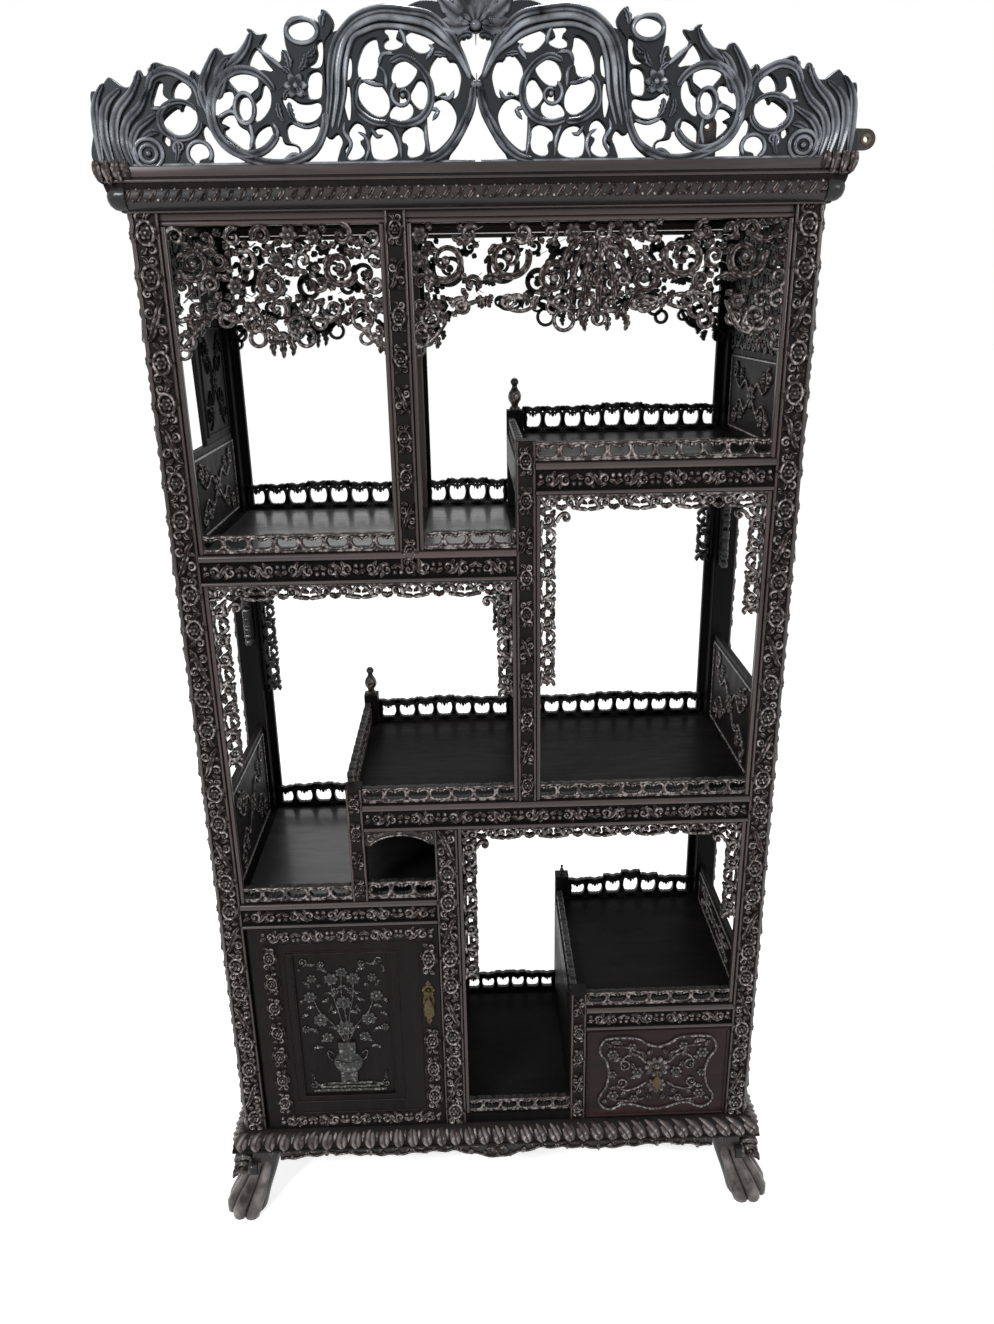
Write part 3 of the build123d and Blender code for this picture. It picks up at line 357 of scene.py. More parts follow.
# Across, up and out of each face of the cabinet, as the columns of a matrix
FRONT = np.array([[1, 0, 0], [0, 0, -1], [0, 1, 0]], float)
BACK = np.array([[1, 0, 0], [0, 0, 1], [0, 1, 0]], float)
LEFT = np.array([[0, 0, -1], [1, 0, 0], [0, 1, 0]], float)
RIGHT = np.array([[0, 0, 1], [1, 0, 0], [0, 1, 0]], float)


def on_front(y, x=0, z=0):
    return FRONT, (x, y, z)


def on_back(y):
    return BACK, (0, y, 0)


def on_left(x):
    return LEFT, (x, 0, 0)


def on_right(x):
    return RIGHT, (x, 0, 0)


def placed(work, plane):
    """Copy of carved work set on a face of the cabinet."""
    piece = Carving()
    piece.stamp(work, *plane)
    return piece


# ---------------------------------------------------------------- finishes

def put(tree, kind, feeds=None, **settings):
    """Adds a shader node, sets its values and joins what feeds it."""
    node = tree.nodes.new("ShaderNode" + kind)
    for label, value in settings.items():
        setattr(node, label, value)
    for label, value in (feeds or {}).items():
        if isinstance(value, bpy.types.NodeSocket):
            tree.links.new(value, node.inputs[label])
        else:
            node.inputs[label].default_value = value
    return node


def new_group(name, inputs, outputs):
    """Empty shader group with named sockets."""
    group = bpy.data.node_groups.new(name, "ShaderNodeTree")
    for label, kind, value in inputs:
        socket = group.interface.new_socket(label, in_out="INPUT", socket_type=kind)
        socket.default_value = value
    for label, kind in outputs:
        group.interface.new_socket(label, in_out="OUTPUT", socket_type=kind)
    return group, group.nodes.new("NodeGroupInput").outputs, group.nodes.new("NodeGroupOutput").inputs


FLOAT, COLOUR, VECTOR = "NodeSocketFloat", "NodeSocketColor", "NodeSocketVector"


def blend_colour(tree, share, low, high):
    """Colour between low and high; the Mix node's colour sockets are numbers 6 and 7, its result is 2."""
    return put(tree, "Mix", {"Factor": share, 6: low, 7: high}, data_type="RGBA").outputs[2]


def product(tree, first, second):
    return put(tree, "Math", {0: first, 1: second}, operation="MULTIPLY").outputs["Value"]


def spread(tree, value, low, high, to_low=0.0, to_high=1.0):
    """Stretches a value's range from low..high to to_low..to_high."""
    feeds = {"Value": value, "From Min": low, "From Max": high, "To Min": to_low, "To Max": to_high}
    return put(tree, "MapRange", feeds).outputs["Result"]


def rosewood_grain_group():
    """Streaked figure of rosewood: a colour and a fine pore height."""
    group, enter, leave = new_group(
        "rosewood_grain",
        [("Deep", COLOUR, (0.01, 0.008, 0.008, 1)), ("Warm", COLOUR, (0.04, 0.02, 0.018, 1)),
         ("Stretch", VECTOR, (1.0, 1.0, 1.0)), ("Scale", FLOAT, 30.0)],
        [("Color", COLOUR), ("Pores", FLOAT)],
    )
    place = put(group, "TexCoord").outputs["Object"]
    shape = put(group, "Mapping", {"Vector": place, "Scale": enter["Stretch"]}).outputs["Vector"]
    noise = {"Vector": shape, "Scale": enter["Scale"], "Detail": 6, "Roughness": 0.62, "Distortion": 0.6}
    figure = spread(group, put(group, "TexNoise", noise).outputs["Fac"], 0.35, 0.68)
    group.links.new(blend_colour(group, figure, enter["Deep"], enter["Warm"]), leave["Color"])
    fine = product(group, enter["Scale"], 9.0)
    pores = put(group, "TexNoise", {"Vector": shape, "Scale": fine, "Detail": 3})
    group.links.new(pores.outputs["Fac"], leave["Pores"])
    return group


def carved_wear_and_painted_light_group():
    """Crests painted paler, partly where handled and partly as painted highlight; recesses painted darker as
    painted shade, and left dull.
    """
    group, enter, leave = new_group(
        "carved_wear_and_painted_light",
        [("Color", COLOUR, (0.02, 0.015, 0.015, 1)), ("Handled And Highlit", COLOUR, (0.1, 0.08, 0.075, 1)),
         ("Painted Hollow Shade", COLOUR, (0.004, 0.003, 0.003, 1)), ("Amount", FLOAT, 0.6), ("Fineness", FLOAT, 120.0),
         ("Bare", FLOAT, 0.5)],
        [("Color", COLOUR), ("Roughness", FLOAT)],
    )
    relief = put(group, "Attribute", attribute_name="relief").outputs["Fac"]
    place = put(group, "TexCoord").outputs["Object"]
    patch = put(group, "TexNoise", {"Vector": place, "Scale": enter["Fineness"], "Detail": 4}).outputs["Fac"]
    # Painted highlight, together with paler handled spots, where relief is high, broken into patches by noise
    handled_and_highlit_share = product(group, spread(group, relief, 0.5, 1.0), spread(group, patch, enter["Bare"], 0.68))
    amount = product(group, handled_and_highlit_share, enter["Amount"])
    # Painted shade: the colour darkens towards the recess shade colour where relief is low
    base = blend_colour(group, spread(group, relief, 0.0, 0.6), enter["Painted Hollow Shade"], enter["Color"])
    group.links.new(blend_colour(group, amount, base, enter["Handled And Highlit"]), leave["Color"])
    group.links.new(spread(group, relief, 0.0, 1.0, 0.6, 0.22), leave["Roughness"])
    return group


def dust_group():
    """Thin grey dust on faces that look upwards."""
    group, enter, leave = new_group(
        "dust", [("Color", COLOUR, (0.02, 0.02, 0.02, 1)), ("Dust", COLOUR, (0.2, 0.19, 0.18, 1)),
                 ("Amount", FLOAT, 0.1)],
        [("Color", COLOUR)],
    )
    normal = put(group, "NewGeometry").outputs["Normal"]
    up = spread(group, put(group, "SeparateXYZ", {"Vector": normal}).outputs["Z"], 0.2, 1.0)
    place = put(group, "TexCoord").outputs["Object"]
    cloud = put(group, "TexNoise", {"Vector": place, "Scale": 38, "Detail": 5}).outputs["Fac"]
    amount = product(group, product(group, up, cloud), enter["Amount"])
    group.links.new(blend_colour(group, amount, enter["Color"], enter["Dust"]), leave["Color"])
    return group


GRAIN, WEAR_AND_PAINTED_LIGHT, DUST = rosewood_grain_group(), carved_wear_and_painted_light_group(), dust_group()


def new_finish(name):
    material = bpy.data.materials.new(name)
    material.use_nodes = True
    tree = material.node_tree
    return material, tree, tree.nodes["Principled BSDF"]


def dress(tree, shader, colour, roughness, height, depth, **constants):
    """Joins a finish's colour, roughness and fine surface to its shader and sets the rest."""
    tree.links.new(colour, shader.inputs["Base Color"])
    tree.links.new(roughness, shader.inputs["Roughness"])
    bump = put(tree, "Bump", {"Height": height, "Strength": 0.25, "Distance": depth})
    tree.links.new(bump.outputs["Normal"], shader.inputs["Normal"])
    for label, value in constants.items():
        shader.inputs[label.replace("_", " ")].default_value = value


COOL_SHEEN = (0.82, 0.92, 1.0, 1)


def opaque(colour):
    return (*colour, 1)


def level(draw):
    """Grain drawn out along the rails."""
    return (draw, 1.0, 1.0)


def upright(draw):
    """Grain drawn out up the posts."""
    return (1.0, 1.0, draw)


def carved_finish(name, deep, warm, handled_and_highlit, amount, stretch=upright(0.15), fineness=170.0, bare=0.47):
    """Carved rosewood under old polish, with painted shade in its recesses and a painted highlight on its
    crests.
    """
    material, tree, shader = new_finish(name)
    figure = {"Deep": opaque(deep), "Warm": opaque(warm), "Stretch": stretch, "Scale": 24.0}
    grain = put(tree, "Group", figure, node_tree=GRAIN).outputs
    wear_and_light_inputs = {"Color": grain["Color"], "Handled And Highlit": opaque(handled_and_highlit), "Painted Hollow Shade": opaque(c * 0.25 for c in deep),
                "Amount": amount, "Fineness": fineness, "Bare": bare}
    wear_and_painted_light = put(tree, "Group", wear_and_light_inputs, node_tree=WEAR_AND_PAINTED_LIGHT).outputs
    dust = put(tree, "Group", {"Color": wear_and_painted_light["Color"], "Amount": 0.05}, node_tree=DUST).outputs
    dress(tree, shader, dust["Color"], wear_and_painted_light["Roughness"], grain["Pores"], 0.0006,
          Specular_IOR_Level=0.22, Specular_Tint=COOL_SHEEN, Coat_Weight=0.22, Coat_Roughness=0.16)
    return material


def plain_finish(name, deep, warm, rough, stretch, gloss, coat):
    """Plain polished rosewood board, bead or moulding."""
    material, tree, shader = new_finish(name)
    figure = {"Deep": opaque(deep), "Warm": opaque(warm), "Stretch": stretch, "Scale": 18.0}
    grain = put(tree, "Group", figure, node_tree=GRAIN).outputs
    dust = put(tree, "Group", {"Color": grain["Color"], "Amount": 0.03}, node_tree=DUST).outputs
    roughness = spread(tree, grain["Pores"], 0.3, 0.7, rough - 0.06, rough + 0.1)
    dress(tree, shader, dust["Color"], roughness, grain["Pores"], 0.0003,
          Specular_IOR_Level=gloss, Coat_Weight=coat, Coat_Roughness=0.12)
    return material


def metal_finish(name, colour, dark, rough):
    """Old metal with darker patches."""
    material, tree, shader = new_finish(name)
    place = put(tree, "TexCoord").outputs["Object"]
    patch = put(tree, "TexNoise", {"Vector": place, "Scale": 180, "Detail": 5}).outputs["Fac"]
    roughness = spread(tree, patch, 0.0, 1.0, rough + 0.15, rough - 0.1)
    patched = blend_colour(tree, patch, opaque(dark), opaque(colour))
    dress(tree, shader, patched, roughness, patch, 0.0003, Metallic=1.0)
    return material


# The third colour of each carved finish goes on the crests: paler where handled, and also painted highlight.
# Each finish also paints its recesses darker as painted shade.
CARVED = carved_finish("carved_rosewood", (0.015, 0.011, 0.0105), (0.038, 0.027, 0.0255),
                       (0.50, 0.455, 0.44), 0.75)
CARVED_LEVEL = carved_finish("carved_rosewood_level", (0.014, 0.010, 0.0095), (0.038, 0.025, 0.023),
                             (0.46, 0.405, 0.385), 0.7, level(0.15))
# On the cresting the pale bluish crest colour is a painted highlight.
CRESTING = carved_finish("cresting_rosewood", (0.006, 0.006, 0.0075), (0.019, 0.018, 0.0205),
                         (0.40, 0.43, 0.48), 0.6, fineness=34.0, bare=0.28)
FOOT = carved_finish("foot_rosewood", (0.009, 0.006, 0.006), (0.026, 0.018, 0.017),
                     (0.40, 0.36, 0.345), 0.5, fineness=28.0, bare=0.34)
BASE = carved_finish("base_rosewood", (0.018, 0.013, 0.0125), (0.052, 0.036, 0.034),
                     (0.46, 0.41, 0.39), 0.62, level(0.15), 60.0, 0.4)
DOOR_CARVED = carved_finish("door_carved_rosewood", (0.006, 0.005, 0.0045), (0.017, 0.013, 0.011),
                            (0.42, 0.40, 0.36), 0.5, bare=0.5)
GROUND = plain_finish("recessed_rosewood", (0.003, 0.0025, 0.0025), (0.008, 0.006, 0.006), 0.5,
                      upright(0.12), 0.08, 0.0)
WARM_LEVEL = plain_finish("warm_rosewood_level", (0.013, 0.0085, 0.0083), (0.050, 0.031, 0.029), 0.28,
                          level(0.1), 0.35, 0.25)
WARM_UPRIGHT = plain_finish("warm_rosewood_upright", (0.012, 0.008, 0.0078), (0.040, 0.025, 0.024), 0.3,
                            upright(0.1), 0.35, 0.2)
DARK_RED = plain_finish("drawer_rosewood", (0.006, 0.003, 0.003), (0.021, 0.008, 0.0085), 0.38,
                        level(0.1), 0.1, 0.04)
BOARD = plain_finish("polished_board", (0.002, 0.002, 0.002), (0.006, 0.005, 0.005), 0.36,
                     level(0.12), 0.03, 0.0)
SHINY_BOARD = plain_finish("glossy_board", (0.002, 0.0025, 0.003), (0.006, 0.0065, 0.007), 0.34,
                           level(0.12), 0.7, 0.25)
INNER = plain_finish("inner_rosewood", (0.002, 0.002, 0.002), (0.006, 0.005, 0.005), 0.5,
                     upright(0.12), 0.06, 0.0)
DRAWER_WOOD = plain_finish("drawer_lining", (0.05, 0.032, 0.02), (0.11, 0.07, 0.045), 0.55,
                           level(0.1), 0.25, 0.0)
BRASS = metal_finish("aged_brass", (0.12, 0.09, 0.046), (0.02, 0.016, 0.009), 0.42)
IRON = metal_finish("dark_plate", (0.05, 0.045, 0.045), (0.02, 0.02, 0.02), 0.5)

SLOTS = {finish: "carved_rosewood" for finish in (CARVED, CARVED_LEVEL, CRESTING, FOOT, BASE, DOOR_CARVED)}
SLOTS[BRASS] = "brass"
SHARP = math.radians(42)


def make_piece(name, work, finish, body="cabinet", stands_for=()):
    """Turns carved work into a piece of the cabinet that rides on one of its bodies."""
    points = (np.vstack(work.points) + SHIFT) / 1000
    tris = np.vstack(work.tris) if work.tris else np.zeros((0, 3), int)
    quads = np.vstack(work.quads)
    mesh = bpy.data.meshes.new(name)
    mesh.vertices.add(len(points))
    mesh.vertices.foreach_set("co", points.astype(np.float32).ravel())
    corners = np.concatenate([tris.ravel(), quads.ravel()]).astype(np.int32)
    mesh.loops.add(len(corners))
    mesh.loops.foreach_set("vertex_index", corners)
    starts = np.concatenate([np.arange(len(tris)) * 3, tris.size + np.arange(len(quads)) * 4])
    mesh.polygons.add(len(starts))
    mesh.polygons.foreach_set("loop_start", starts.astype(np.int32))
    mesh.update(calc_edges=True)
    mesh.validate()
    # The finishes read relief: they paint shade where it is low and a highlight where it is high.
    height = mesh.attributes.new("relief", "FLOAT", "POINT")
    height.data.foreach_set("value", np.concatenate(work.relief).astype(np.float32))
    mesh.shade_smooth()
    mesh.set_sharp_from_angle(angle=SHARP)
    mesh.materials.append(finish)
    made = bpy.data.objects.new(name, mesh)
    bpy.context.scene.collection.objects.link(made)
    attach(made, body)
    if stands_for:
        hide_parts(*stands_for)


def refinish(finish, *nodes):
    """Gives solids of the frame their finish."""
    for node in nodes:
        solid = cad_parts[node]
        if not solid.material_slots:
            solid.data.materials.append(finish)
        for slot in solid.material_slots:
            slot.link = "OBJECT"
            slot.material = finish


# ---------------------------------------------------------------- small motifs

def boss_motif():
    """Oval boss in a beaded rim with leaves between it and the next."""
    cell = Carving()
    cell.ring(circle(0, 1, 12, 16.5), 6.0, 5.5, 4.0)
    cell.blossom(0, 1, 11, 6)
    cell.curl(6, 24, 8, 2.8, -150, 1.1, 6.2, 6.0)
    cell.leaf((-1, 18), (-14, 29), 12, 6, bend=-0.3, lobes=3)
    cell.leaf((2, -17), (14, -27), 12, 6, bend=-0.3, lobes=3)
    cell.curl(-7, -22, 8, 2.8, 30, 1.1, 6.2, 6.0)
    cell.leaf((-14, -8), (-13, 16), 8, 5.5, bend=0.15)
    cell.leaf((14, 10), (13, -14), 8, 5.5, bend=0.15)
    return cell


def spray_motif():
    """Long leaf scroll that crosses a post's face on the slant."""
    cell = Carving()
    cell.strap([(-14, 29), (-6, 19), (-2, 6), (3, -6), (7, -18), (15, -29)], (5, 11, 11, 5), 7.5, FLUTED)
    cell.curl(8, 13, 8.5, 3.0, -160, 1.2, 6.4, 6.0)
    cell.curl(-8, -13, 8.5, 3.0, 20, 1.2, 6.4, 6.0)
    cell.leaf((0, 22), (14, 28), 11, 5.5, bend=0.2, lobes=3)
    cell.leaf((0, -22), (-14, -28), 11, 5.5, bend=0.2, lobes=3)
    cell.leaf((-4, 9), (-15, 3), 10, 5.5, bend=-0.2, lobes=3)
    cell.leaf((4, -9), (15, -3), 10, 5.5, bend=-0.2, lobes=3)
    return cell


def scroll_motif():
    """Paired scroll and leaf for a rail."""
    cell = Carving()
    cell.curl(-13, 1, 9, 3.0, -90, 1.1, 6.2, 4.6)
    cell.curl(13, -1, 9, 3.0, 90, 1.1, 6.2, 4.6)
    cell.strap([(-15, -8), (-3, -5), (3, 5), (15, 8)], (5, 8, 5), 5, FLUTED, step=4)
    cell.leaf((-4, 4), (-2, 13), 10, 4.6, bend=0.3, lobes=3)
    cell.leaf((4, -4), (2, -13), 10, 4.6, bend=0.3, lobes=3)
    cell.leaf((20, 2), (31, 9), 10, 4.4, bend=-0.2, lobes=3)
    cell.leaf((-20, -2), (-31, -9), 10, 4.4, bend=-0.2, lobes=3)
    cell.leaf((18, 7), (7, 12), 8, 4, bend=0.2, lobes=3)
    cell.leaf((-18, -7), (-7, -12), 8, 4, bend=0.2, lobes=3)
    cell.dome(-26, 6, 8, 8, 4.4, around=8)
    cell.dome(26, -6, 8, 8, 4.4, around=8)
    return cell


def heart_motif(back=8.0):
    """Pierced heart of two thin curls under a wavy top line, for galleries."""
    cell = Carving(back)
    for side in (-1, 1):
        knots = [(side * 1, -12), (side * 12, -10.5), (side * 17, -1), (side * 13.5, 8.5), (side * 5, 7),
                 (side * 5.5, 3)]
        cell.strap(knots, (6, 6, 5.5, 4), 3.4, step=3.2)
        cell.dome(side * 16.5, 12, 7, 6, 4.0, around=7)
    cell.strap([(-18, 11), (-9, 12.5), (0, 10.5), (9, 12.5), (18, 11)], 4.8, 3.6, blunt=True, step=4)
    cell.dome(0, -12, 11, 7, 4.0, around=8)
    cell.dome(0, 6, 6.5, 8, 4.0, around=7)
    return cell


def strip_motif(back=8.0):
    """Pierced running scroll for the strips down the posts."""
    cell = Carving(back)
    cell.curl(2, 6, 11, 4.2, -130, 1.05, 7.4, 4.6)
    cell.strap([(-12, -22), (-10, -8), (-8, 0), (-9, 6)], 7.0, 4.0, step=3.5)
    cell.strap([(-7, -3), (4, -10), (11, -15), (12, -22)], 7.0, 4.0, step=3.5)
    cell.leaf((9, 10), (14, 22), 11, 4.4, bend=0.2, lobes=3)
    cell.leaf((-5, 12), (-13, 22), 11, 4.4, bend=-0.2, lobes=3)
    cell.leaf((2, -10), (-2, -21), 9, 4.2, bend=0.15, lobes=3)
    cell.dome(12, -3, 7, 7, 4.2, around=7)
    return cell


BOSS, SPRAY, SCROLL = boss_motif(), spray_motif(), scroll_motif()
HEART, RUNNING = heart_motif(), strip_motif()


def run_up(work, motifs, u, v0, v1, pitch, size):
    """Motifs in turn, one above another, every other one mirrored, fitted to the height."""
    count = max(1, round((v1 - v0) / pitch))
    step = (v1 - v0) / count
    for index in range(count):
        wide = -size if index % 2 else size
        work.set_in(motifs[index % len(motifs)], u, v0 + (index + 0.5) * step, wide, size * step / pitch)


def run_along(work, motif, v, u0, u1, pitch, tall):
    """Motifs side by side, every other one mirrored, fitted to the length."""
    count = max(1, round((u1 - u0) / pitch))
    step = (u1 - u0) / count
    for index in range(count):
        wide = step / pitch
        work.set_in(motif, u0 + (index + 0.5) * step, v, -wide if index % 2 else wide, tall)


# ---------------------------------------------------------------- posts

def post_carving(u0, u1, v0, v1):
    """Carved face of a post: bosses and leaf sprays in turn between its fillets."""
    face = Carving()
    run_up(face, (BOSS, SPRAY, BOSS), (u0 + u1) / 2, v0, v1, POST_PITCH, (u1 - u0 - 8) / 32)
    return face


def post_fillets(u0, u1, v0, v1):
    """Plain rounded fillets down the two edges of a post's face."""
    fillets = Carving()
    for u in (u0 + 2.4, u1 - 2.4):
        fillets.bead((u, v0 + 1), (u, v1 - 1), 4.6, 2.6)
    return fillets


def carve_corner_posts():
    for side, word in ((-1, "left"), (1, "right")):
        u0, u1 = (-HALF, IN_LEFT) if side < 0 else (IN_RIGHT, HALF)
        out = on_left(-HALF) if side < 0 else on_right(HALF)
        for place, plane, y0 in (("front", on_front(0.0), 0.0), ("back", on_back(DEPTH), DEPTH - POST_D)):
            carving, fillets = Carving(), Carving()
            for work, drawing in ((carving, post_carving), (fillets, post_fillets)):
                work.stamp(drawing(u0, u1, 0, POST_TOP), *plane)
                work.stamp(drawing(y0, y0 + POST_D, 0, POST_TOP), *out)
            make_piece(f"post_carving_{place}_{word}", carving, CARVED)
            make_piece(f"post_fillets_{place}_{word}", fillets, WARM_UPRIGHT)
    refinish(GROUND, "post_front_left", "post_front_right")
    refinish(INNER, "post_back_left", "post_back_right")


def carve_inner_posts():
    inner = [
        ("mid_post", MID_POST, UPPER_LEFT_TOP - RAIL_H + 20, POST_TOP),
        ("centre_post", CENTRE_POST, MIDDLE_TOP, UPPER_RIGHT_TOP + GALLERY_H),
        ("divider_post", DIVIDER, 0.0, MIDDLE_TOP - RAIL_H),
        ("short_post", SHORT_POST, CUPBOARD_TOP, MIDDLE_TOP + GALLERY_H),
        ("drawer_post", DRAWER_POST, 0.0, DRAWER_TOP + GALLERY_H),
    ]
    for word, (u0, u1), v0, v1 in inner:
        carving, fillets = Carving(), Carving()
        for plane in (on_front(0.0), on_back(DEPTH)):
            carving.stamp(post_carving(u0, u1, v0, v1), *plane)
            fillets.stamp(post_fillets(u0, u1, v0, v1), *plane)
        make_piece(f"{word}_carving", carving, CARVED)
        make_piece(f"{word}_fillets", fillets, WARM_UPRIGHT)
    refinish(GROUND, "mid_post_front", "centre_post_front", "divider_post_front", "short_posts",
             "drawer_posts")
    refinish(INNER, "centre_post_back", "divider_post_back")
    refinish(WARM_UPRIGHT, "mid_post_back")


def carve_laths():
    """Plain laths that line the sides of the openings, front and back."""
    top, middle, low = POST_TOP - 20, UPPER_LEFT_TOP - RAIL_H, MIDDLE_TOP - RAIL_H
    right = UPPER_RIGHT_TOP - RAIL_H
    sides = [
        (IN_LEFT, 1, UPPER_LEFT_TOP, top), (MID_POST[1], 1, UPPER_LEFT_TOP, top),
        (IN_RIGHT, -1, UPPER_RIGHT_TOP, top), (MID_POST[0], -1, UPPER_LEFT_TOP, top),
        (IN_LEFT, 1, CUPBOARD_TOP, middle), (CENTRE_POST[0], -1, MIDDLE_TOP, middle),
        (CENTRE_POST[1], 1, MIDDLE_TOP, right), (IN_RIGHT, -1, MIDDLE_TOP, right),
        (DIVIDER[1], 1, NICHE_TOP, low), (IN_RIGHT, -1, DRAWER_TOP, low),
    ]
    front, back = Carving(8.0), Carving(8.0)
    for u, inner, v0, v1 in sides:
        front.bead((u + inner * 3.5, v0), (u + inner * 3.5, v1), 7.5, 2.2)
        wide = 13 if abs(u) > 400 else 7.5
        back.bead((u + inner * wide / 2, v0), (u + inner * wide / 2, v1), wide, 2.2, SQUARE)
    make_piece("laths_front", placed(front, on_front(3.5)), WARM_UPRIGHT)
    make_piece("laths_back", placed(back, on_back(DEPTH - 3.5)), INNER)


def turn_finial(work, x, y, z, size):
    """Turned and gadrooned bud."""
    profile = [(9.5, 0), (9.5, 4), (6, 7), (7, 11), (11, 17), (12, 24), (10, 31), (6.5, 36), (4.6, 40),
               (4.8, 43), (7, 46), (7.4, 50), (5, 54), (0.6, 56)]
    around = 24
    a = np.linspace(0, 2 * math.pi, around, endpoint=False)
    points, relief = [], []
    for index, (radius, height) in enumerate(profile):
        flute = 1 - 0.08 * (1 - np.abs(np.cos(6 * a))) if 4 <= index <= 8 else np.ones(around)
        r = radius * flute * size
        points.append(np.stack([x + r * np.cos(a), y + r * np.sin(a), np.full(around, z + height * size)], 1))
        relief.append(np.clip(flute * radius / 12, 0, 1))
    ends = [fan(0, around, backwards=True), fan((len(profile) - 1) * around, around)]
    work.add(np.vstack(points), np.concatenate(relief), rings(len(profile), around), np.vstack(ends))


def carve_finials():
    work = Carving()
    for (x0, x1), top, size in ((CENTRE_POST, UPPER_RIGHT_TOP + GALLERY_H, 1.0),
                                (SHORT_POST, MIDDLE_TOP + BACK_GALLERY_H, 1.0),
                                (DRAWER_POST, DRAWER_TOP + BACK_GALLERY_H, 0.4)):
        turn_finial(work, (x0 + x1) / 2, DEPTH - (x1 - x0) / 2, top + 10, size)
    make_piece("turned_finials", work, CARVED, stands_for=("finials",))


# ---------------------------------------------------------------- shelves, rails and galleries

def rail_faces(u0, u1, top):
    """Carved band of a rail between its beads."""
    band = Carving()
    middle = top - TOP_BEAD - (RAIL_H - TOP_BEAD - LOW_BEAD) / 2
    run_along(band, SCROLL, middle, u0 + 3, u1 - 3, RAIL_PITCH, 1.0)
    return band


def rail_beads(u0, u1, top):
    """Rounded beads above and below the carved band."""
    beads = Carving()
    beads.bead((u0, top - TOP_BEAD / 2), (u1, top - TOP_BEAD / 2), TOP_BEAD - 1, 5.0)
    beads.bead((u0, top - RAIL_H + LOW_BEAD / 2), (u1, top - RAIL_H + LOW_BEAD / 2), LOW_BEAD - 1, 5.0)
    return beads


SHELVES = {
    "upper_left": (IN_LEFT, CENTRE_POST[0], UPPER_LEFT_TOP, on_left(-RAIL_X)),
    "upper_right": (CENTRE_POST[1], IN_RIGHT, UPPER_RIGHT_TOP, on_right(RAIL_X)),
    "middle": (SHORT_POST[1], IN_RIGHT, MIDDLE_TOP, on_right(RAIL_X)),
    "cupboard": (IN_LEFT, DIVIDER[0], CUPBOARD_TOP, on_left(-RAIL_X)),
    "drawer": (DRAWER_POST[1], IN_RIGHT, DRAWER_TOP, on_right(RAIL_X)),
}


def carve_shelves():
    for word, (u0, u1, top, outer) in SHELVES.items():
        bands, beads = Carving(), Carving()
        for plane in (on_front(2.0), on_back(DEPTH - 2.0)):
            bands.stamp(rail_faces(u0, u1, top), *plane)
        for plane in (on_front(0.0), on_back(DEPTH)):
            beads.stamp(rail_beads(u0, u1, top), *plane)
        bands.stamp(rail_faces(POST_D, DEPTH - POST_D, top), *outer)
        beads.stamp(rail_beads(POST_D, DEPTH - POST_D, top), *outer)
        make_piece(f"rail_carving_{word}", bands, CARVED_LEVEL)
        make_piece(f"rail_beads_{word}", beads, WARM_LEVEL)
        refinish(BOARD, f"shelf_{word}")


def polish_boards():
    """Freshly polished tops of the two left shelves, between their galleries."""
    tops = (("upper_left", ((IN_LEFT, MID_POST[0]), (MID_POST[1], CENTRE_POST[0])), UPPER_LEFT_TOP),
            ("cupboard", ((IN_LEFT, SHORT_POST[0]),), CUPBOARD_TOP))
    for word, spans, top in tops:
        work = Carving()
        for x0, x1 in spans:
            work.bar(x0 + 4, x1 - 4, 18, DEPTH - 18, top - 1.0, top + 0.8, 0.6)
        make_piece(f"polished_top_{word}", work, SHINY_BOARD)


def gallery_strip(u0, u1, v0, high, raised=0.0):
    """Pierced gallery: foot rail, hearts and a wavy leaf top."""
    strip = Carving(8.0)
    strip.bead((u0, v0 + 2.6), (u1, v0 + 2.6), 5.2, 2.6, SQUARE)
    count = max(1, round((u1 - u0) / HEART_PITCH))
    step = (u1 - u0) / count
    for index in range(count):
        u = u0 + (index + 0.5) * step
        lift = 1 + raised * math.exp(-((index - (count - 1) / 2) / 1.2) ** 2)
        tall = (high - 4) / 30 * lift
        strip.set_in(HEART, u, v0 + 3 + 13.5 * tall, step / HEART_PITCH, tall)
        if index:
            edge = u - step / 2
            strip.leaf((edge, v0 + 3), (edge, v0 + high * 0.55), 8, 3.6, lobes=3)
    for end, lean in ((u0, 1), (u1, -1)):
        strip.leaf((end + lean * 3.5, v0 + 3), (end + lean * 4.5, v0 + high * 0.95), 10, 4.0, lobes=3)
    return strip


